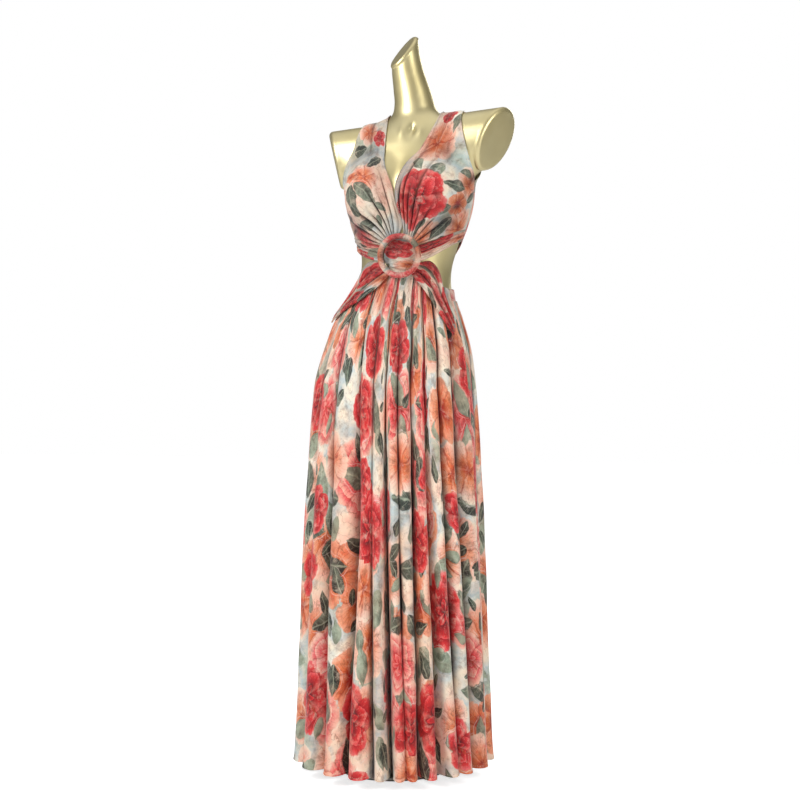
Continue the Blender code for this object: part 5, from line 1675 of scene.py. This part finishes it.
def hip_drape(side, end):
    """A pleated band from the ring down over the hip, lying on the skirt's top."""
    name = f"hip_drape_{end}"
    near = round_ring(np.array(HIP_BAND_LEAVES[side]), GATHER_RADIUS)
    high = hip_edge(near[0], HIP_BAND_HIGH[side])
    low = hip_edge(near[1], HIP_BAND_LOW[side])
    columns = np.linspace(0, 1, HIP_BAND_MESH[1])[None, :, None]
    grid = high[:, None] + (low - high)[:, None] * columns
    across, out = shares_of(grid)
    fine = HIP_FINE * np.cos(2 * math.pi * (7.5 * across + 0.9 * out + 0.2))
    free = smooth_table(out, HIP_BAND_FREE)
    lift = HIP_BAND_LIFT + free * (PLEAT_DEPTH * tucks(across, HIP_TUCKS) + fine)
    grid = hoop_point(grid[..., 0], grid[..., 1], lift)
    flat = flat_of(grid, CUT_FROM[name], ease=2.2)
    piece = sew(name, grid, flat, f"hip_band_{end}")
    declare_sheet(grid, size_of(grid))


def waistband_back():
    """The narrow band round the back of the waist."""
    first = valley_angle(LEFT_SEAM - 1, 0, 0.5)
    last = valley_angle(len(VALLEYS) - 1, 0, 0.5)
    rows = np.linspace(1, 0, WAISTBAND_MESH[0])[:, None]
    angles = np.linspace(first + 0.05, last - 0.05, WAISTBAND_MESH[1])[None]
    z = waist_height(angles) - BACK_BAND_HEIGHT * (1 - rows)
    ease = WAISTBAND_EASE * np.sin(np.radians(angles) * 37) * np.sin(math.pi * rows)
    lift = LIFT + WAISTBAND_LIFT + ease
    grid = onto_form(hoop_point(angles + 0 * z, z), lift, level=True)
    flat = flat_of(grid, CUT_FROM["waistband_back"])
    piece = sew("waistband_back", grid, flat, "back_waistband")
    declare_sheet(grid, (size_of(grid)[0], BACK_BAND_HEIGHT))


def folded_cloth(first, last, drop):
    """A panel's cloth between two valleys in its great folds, and a share of its width."""
    dense = np.linspace(first - 0.5, last - 0.5, (last - first) * FOLD_PROBES + 1)
    few = np.array([0.3, 0.6, 0.9])
    sample = np.stack([skirt_column(at, few, drop) for at in dense], axis=1)
    step = np.linalg.norm(np.diff(sample, axis=1), axis=-1).mean(axis=0)
    # Columns are even along the folded cloth, with a share kept even by angle.
    step = step + 0.25 * step.mean()
    run = np.concatenate(([0], np.cumsum(step)))
    count = (last - first) * FOLD_COLUMNS + 1
    places = np.interp(np.linspace(0, run[-1], count), run, dense)
    grid = np.stack([skirt_column(at, SKIRT_ROWS, drop) for at in places], axis=1)
    for _ in range(2):
        grid[:, 1:-1] = (grid[:, :-2] + 2 * grid[:, 1:-1] + grid[:, 2:]) / 4
    return grid


def skirt_relief(across, down, first):
    """Gathers at a panel's top and soft waves down it; its side seams stay smooth."""
    sizes, count = settings(), across.shape[1]
    fine = waving(across, down, GATHER_WAVES, first)
    pitch = 2 * math.pi / GATHER_PITCH
    top = (1 - rise(SKIRT_ROWS, 0.02, 0.30))[:, None]
    gathers = sizes.gathers * top * (np.cos(across * pitch + 2 * fine) - 1) / 2
    soft = rise(SKIRT_ROWS, 0.10, 0.45)[:, None]
    drape = sizes.drape * soft * waving(across, down, DRAPE_WAVES, first)
    small = SMALL_WAVE * soft * waving(across, down, SMALL_WAVES, first)
    # The relief fades out over the last eight columns at each side seam.
    ends = np.minimum(np.linspace(0, 1, count), np.linspace(1, 0, count)) * count / 8
    return (gathers + drape + small) * np.clip(ends, 0, 1)[None]


def skirt_panel(end, first, last, drop):
    """The front or back of the skirt, gathered at the waist and hung in folds."""
    name = f"skirt_panel_{end}"
    grid = folded_cloth(first, last, drop)
    run = run_along(grid, 1)[WIDTH_ROW]
    length = float(run_along(grid)[-1].mean())
    across = run[None] * np.ones((len(SKIRT_ROWS), 1))
    down = SKIRT_ROWS[:, None] * length * np.ones((1, len(run)))
    normal = normals_out(grid, grid * (1, 1, 0))
    grid = grid + normal * skirt_relief(across, down, first)[..., None]
    grid[..., 2] = np.maximum(grid[..., 2], HEM_Z + CLEAR)
    start = CUT_FROM[name]
    flat = np.stack((across * FULLNESS + start[0], down + start[1]), axis=-1)
    rolls = (0, settings().hem_roll, 0, 0)
    piece = sew(name, grid, flat, f"skirt_{end}", rolls, SKIRT_FOLD_SHADE, outward=grid * (1, 1, 0))
    stitch(f"hem_stitches_{end}", grid, (0, -1))
    declare_sheet(
        grid, (float(run[-1]), length)
    )


# ------------------------------------------------------------------ the stage
def soft_lamp(name, lamp):
    """A soft lamp at an angle round the dress, in degrees from the front."""
    light = bpy.data.lights.new(name, "AREA")
    light.shape = "RECTANGLE"
    light.size, light.size_y = lamp.size
    light.energy = lamp.power
    holder = bpy.data.objects.new(name, light)
    turn = math.radians(lamp.turn)
    holder.location = (lamp.away * math.sin(turn), -lamp.away * math.cos(turn), lamp.height)
    way = Vector((0, 0, LAMP_AIM_Z)) - holder.location
    holder.rotation_euler = way.to_track_quat("-Z", "Y").to_euler()
    bpy.context.scene.collection.objects.link(holder)


def lay_floor():
    """One plain sheet of floor."""
    mesh = bpy.data.meshes.new("studio_floor")
    corners = [(-1, -1), (1, -1), (1, 1), (-1, 1)]
    mesh.from_pydata([(x * FLOOR_HALF, y * FLOOR_HALF, 0) for x, y in corners], [],
                     [(0, 1, 2, 3)])
    mesh.materials.append(studio_floor())
    floor = bpy.data.objects.new("studio_floor", mesh)
    bpy.context.scene.collection.objects.link(floor)


def hang_sky():
    """Grey studio walls for the gold to mirror, and plain white behind the dress."""
    world = bpy.data.worlds.new("studio")
    world.use_nodes = True
    bpy.context.scene.world = world
    tree = world.node_tree
    across, deep, height = source(tree, "TexCoord", "Generated").parts()
    glow = (height * 0.5 + 0.5).spread([(place, (grey,) * 3) for place, grey in SKY_GREYS])
    side = (across * 0.75 + deep * 0.66).past(0.15, 0.95)
    glow = glow.under(side * 0.75, (0.42, 0.42, 0.38))
    front_wall = (across * -0.50 + deep * -0.86).past(0.0, 1.0)
    level = height.abs().past(0.55, 0.10)
    glow = glow.under(front_wall * level * 0.80, (0.92, 0.92, 0.92))
    lit = tree.nodes["Background"]
    feed(lit, {0: glow})
    plain = tree.nodes.new("ShaderNodeBackground")
    feed(plain, {0: (1, 1, 1, 1)})
    seen = source(tree, "LightPath", 0)
    shown = seen.node("MixShader", {
        0: seen, 1: Dye(tree, lit.outputs[0]), 2: Dye(tree, plain.outputs[0])})
    feed(tree.nodes["World Output"], {0: Dye(tree, shown.outputs[0])})


def set_camera():
    """A camera a little to the left of the front, level with the skirt's middle."""
    turn, width = math.radians(VIEW_TURN), COLUMN_WIDTH * VIEW_COLUMNS
    across = AIM_COLUMNS * width / VIEW_COLUMNS
    aim = Vector((SHIFT_X + across * math.cos(turn), across * math.sin(turn), VIEW_Z))
    back_way = Vector((math.sin(turn), -math.cos(turn), 0))
    data = bpy.data.cameras.new("camera")
    data.sensor_width = SENSOR
    data.lens = data.sensor_width * VIEW_AWAY / width
    camera = bpy.data.objects.new("camera", data)
    camera.location = aim + back_way * VIEW_AWAY
    camera.rotation_euler = back_way.to_track_quat("Z", "Y").to_euler()
    bpy.context.scene.collection.objects.link(camera)
    bpy.context.scene.camera = camera


# ------------------------------------------------------------------ panel and settings
def length_field(name, description, value, least, most):
    """A length in the panel."""
    return bpy.props.FloatProperty(
        name=name, description=description, default=value, min=least, max=most,
        unit="LENGTH")


class DressSizes(bpy.types.PropertyGroup):
    """Sizes of the sewn cloth."""

    cloth: length_field(
        "Cloth", "Thickness of one layer of the cloth", 0.0008, 0.0003, 0.002)
    edge_lift: length_field(
        "Edge lift", "Free edges of the bodice above the form", 0.0026, 0.0010, 0.006)
    hem_width: length_field(
        "Hem width", "Width of the narrow rolled hems", 0.0040, 0.002, 0.015)
    hem_roll: length_field(
        "Hem roll", "Half of what a rolled hem adds to the cloth's thickness",
        0.0007, 0.0, 0.003)
    gathers: length_field(
        "Gathers", "Depth of the small gathers at the skirt's top", 0.0020, 0.0, 0.004)
    drape: length_field(
        "Drape", "Depth of the soft waves that wander down the skirt", 0.0030, 0.0, 0.006)
    thread_pitch: length_field(
        "Thread pitch", "Distance from one thread of the weave to the next",
        0.0007, 0.0002, 0.003)


def colour_field(name, description, value):
    """A colour in the panel."""
    return bpy.props.FloatVectorProperty(
        name=name, description=description, default=value, size=3, min=0, max=1,
        subtype="COLOR_GAMMA")


class DressColours(bpy.types.PropertyGroup):
    """Colours of the print, the form and its foot."""

    mist: colour_field("Mist", "Grey-blue of the ground", (0.73, 0.79, 0.80))
    sage: colour_field("Sage", "Grey-green of the ground", (0.68, 0.74, 0.66))
    cream: colour_field("Cream", "Cream of the ground and petal tips", (0.96, 0.91, 0.82))
    blush: colour_field("Blush", "Palest pink", (0.96, 0.79, 0.71))
    outline: colour_field("Outline", "Fine pale lines", (0.98, 0.96, 0.93))
    peach: colour_field("Peach", "Open petals", (0.93, 0.64, 0.50))
    orange: colour_field("Orange", "Throats of the open blooms", (0.88, 0.48, 0.28))
    orange_deep: colour_field("Deep orange", "Eyes and veins", (0.68, 0.24, 0.12))
    pink: colour_field("Pink", "Tips of the full blooms", (0.92, 0.44, 0.44))
    coral: colour_field("Coral", "Petals of the full blooms", (0.86, 0.19, 0.20))
    crimson: colour_field("Crimson", "Inner petals of the full blooms", (0.68, 0.05, 0.10))
    wine: colour_field("Wine", "Hearts of the full blooms", (0.30, 0.04, 0.07))
    pool: colour_field("Pools", "Wash that has pooled", (0.66, 0.56, 0.52))
    # Painted shade: the colour multiplied into the print deep in the folds.
    shade: colour_field("Fold", "Cloth deep in a fold", (0.36, 0.22, 0.20))
    wash: colour_field("Wash", "Warm wash over parts of the print", (0.98, 0.84, 0.79))
    pen: colour_field("Pen", "Fine brown pen lines", (0.60, 0.36, 0.28))
    leaf: colour_field("Leaf", "Grey-green leaves", (0.42, 0.47, 0.40))
    leaf_dark: colour_field("Dark leaf", "Shaded leaves", (0.11, 0.15, 0.12))
    leaf_light: colour_field("Light leaf", "Midribs and leaf edges", (0.62, 0.67, 0.58))
    gold: colour_field("Gold", "Lacquer of the form", (0.90, 0.85, 0.66))
    gold_deep: colour_field("Deep gold", "Lacquer where it is thin", (0.85, 0.79, 0.58))
    steel: colour_field("Steel", "Pole and foot", (0.84, 0.82, 0.78))
    steel_deep: colour_field("Dark steel", "Brushing of the pole and foot", (0.66, 0.64, 0.60))
    floor: colour_field("Floor", "Studio floor", (0.97, 0.97, 0.97))


class DRESS_OT_form(bpy.types.Operator):
    """Mould the limbless form with its pole and foot"""

    bl_idname = "dress.form"
    bl_label = "Form, pole and foot"

    def execute(self, context):
        torso()
        pole_and_foot()
        return {"FINISHED"}


class DRESS_OT_bodice(bpy.types.Operator):
    """Sew the fronts with their straps, and the back"""

    bl_idname = "dress.bodice"
    bl_label = "Bodice"

    def execute(self, context):
        for side, end in SIDES:
            front(side, end)
        for side, end in SIDES:
            back(side, end)
        return {"FINISHED"}


class DRESS_OT_ring(bpy.types.Operator):
    """Cover the ring and draw the folded cloth through it"""

    bl_idname = "dress.ring"
    bl_label = "Ring and its drape"

    def execute(self, context):
        ring_cover()
        ring_folds()
        return {"FINISHED"}


class DRESS_OT_bands(bpy.types.Operator):
    """Pleat the bands under the bust, over the hips and round the back"""

    bl_idname = "dress.bands"
    bl_label = "Bands"

    def execute(self, context):
        for side, end in SIDES:
            under_bust_band(side, end)
            hip_drape(side, end)
        waistband_back()
        return {"FINISHED"}


class DRESS_OT_skirt(bpy.types.Operator):
    """Hang the gathered front and back of the skirt in folds"""

    bl_idname = "dress.skirt"
    bl_label = "Skirt"

    def execute(self, context):
        skirt_panel("front", 0, LEFT_SEAM, 0.0)
        skirt_panel("back", LEFT_SEAM, len(VALLEYS), BACK_BAND_HEIGHT)
        return {"FINISHED"}


class DRESS_OT_stage(bpy.types.Operator):
    """Set up the pale floor, the soft lights and the camera"""

    bl_idname = "dress.stage"
    bl_label = "Stage"

    def execute(self, context):
        lay_floor()
        hang_sky()
        for name, lamp in LAMPS.items():
            soft_lamp(name, lamp)
        context.scene.view_settings.view_transform = "Standard"
        set_camera()
        return {"FINISHED"}


STEPS = (DRESS_OT_form, DRESS_OT_bodice, DRESS_OT_ring, DRESS_OT_bands, DRESS_OT_skirt,
         DRESS_OT_stage)


class DRESS_PT_pieces(bpy.types.Panel):
    """Pieces, sizes and colours of the dress"""

    bl_label = "Maxi dress"
    bl_space_type = "VIEW_3D"
    bl_region_type = "UI"
    bl_category = "Dress"

    def draw(self, context):
        for step in STEPS:
            self.layout.operator(step.bl_idname)
        for group in (context.scene.maxi_dress, context.scene.maxi_dress_colours):
            box = self.layout.box()
            for field in type(group).__annotations__:
                box.prop(group, field)


CLASSES = (DressSizes, DressColours, *STEPS, DRESS_PT_pieces)


def register():
    """Make the panel, its settings and its operators known to Blender."""
    for kind in CLASSES:
        bpy.utils.register_class(kind)
    bpy.types.Scene.maxi_dress = bpy.props.PointerProperty(type=DressSizes)
    bpy.types.Scene.maxi_dress_colours = bpy.props.PointerProperty(type=DressColours)


def unregister():
    """Take them out again."""
    del bpy.types.Scene.maxi_dress
    del bpy.types.Scene.maxi_dress_colours
    for kind in reversed(CLASSES):
        bpy.utils.unregister_class(kind)


def main():
    """Make the panel known, then dress the form and set the stage."""
    register()
    for step in STEPS:
        group, name = step.bl_idname.split(".")
        getattr(getattr(bpy.ops, group), name)()


if __name__ == "__main__":
    main()
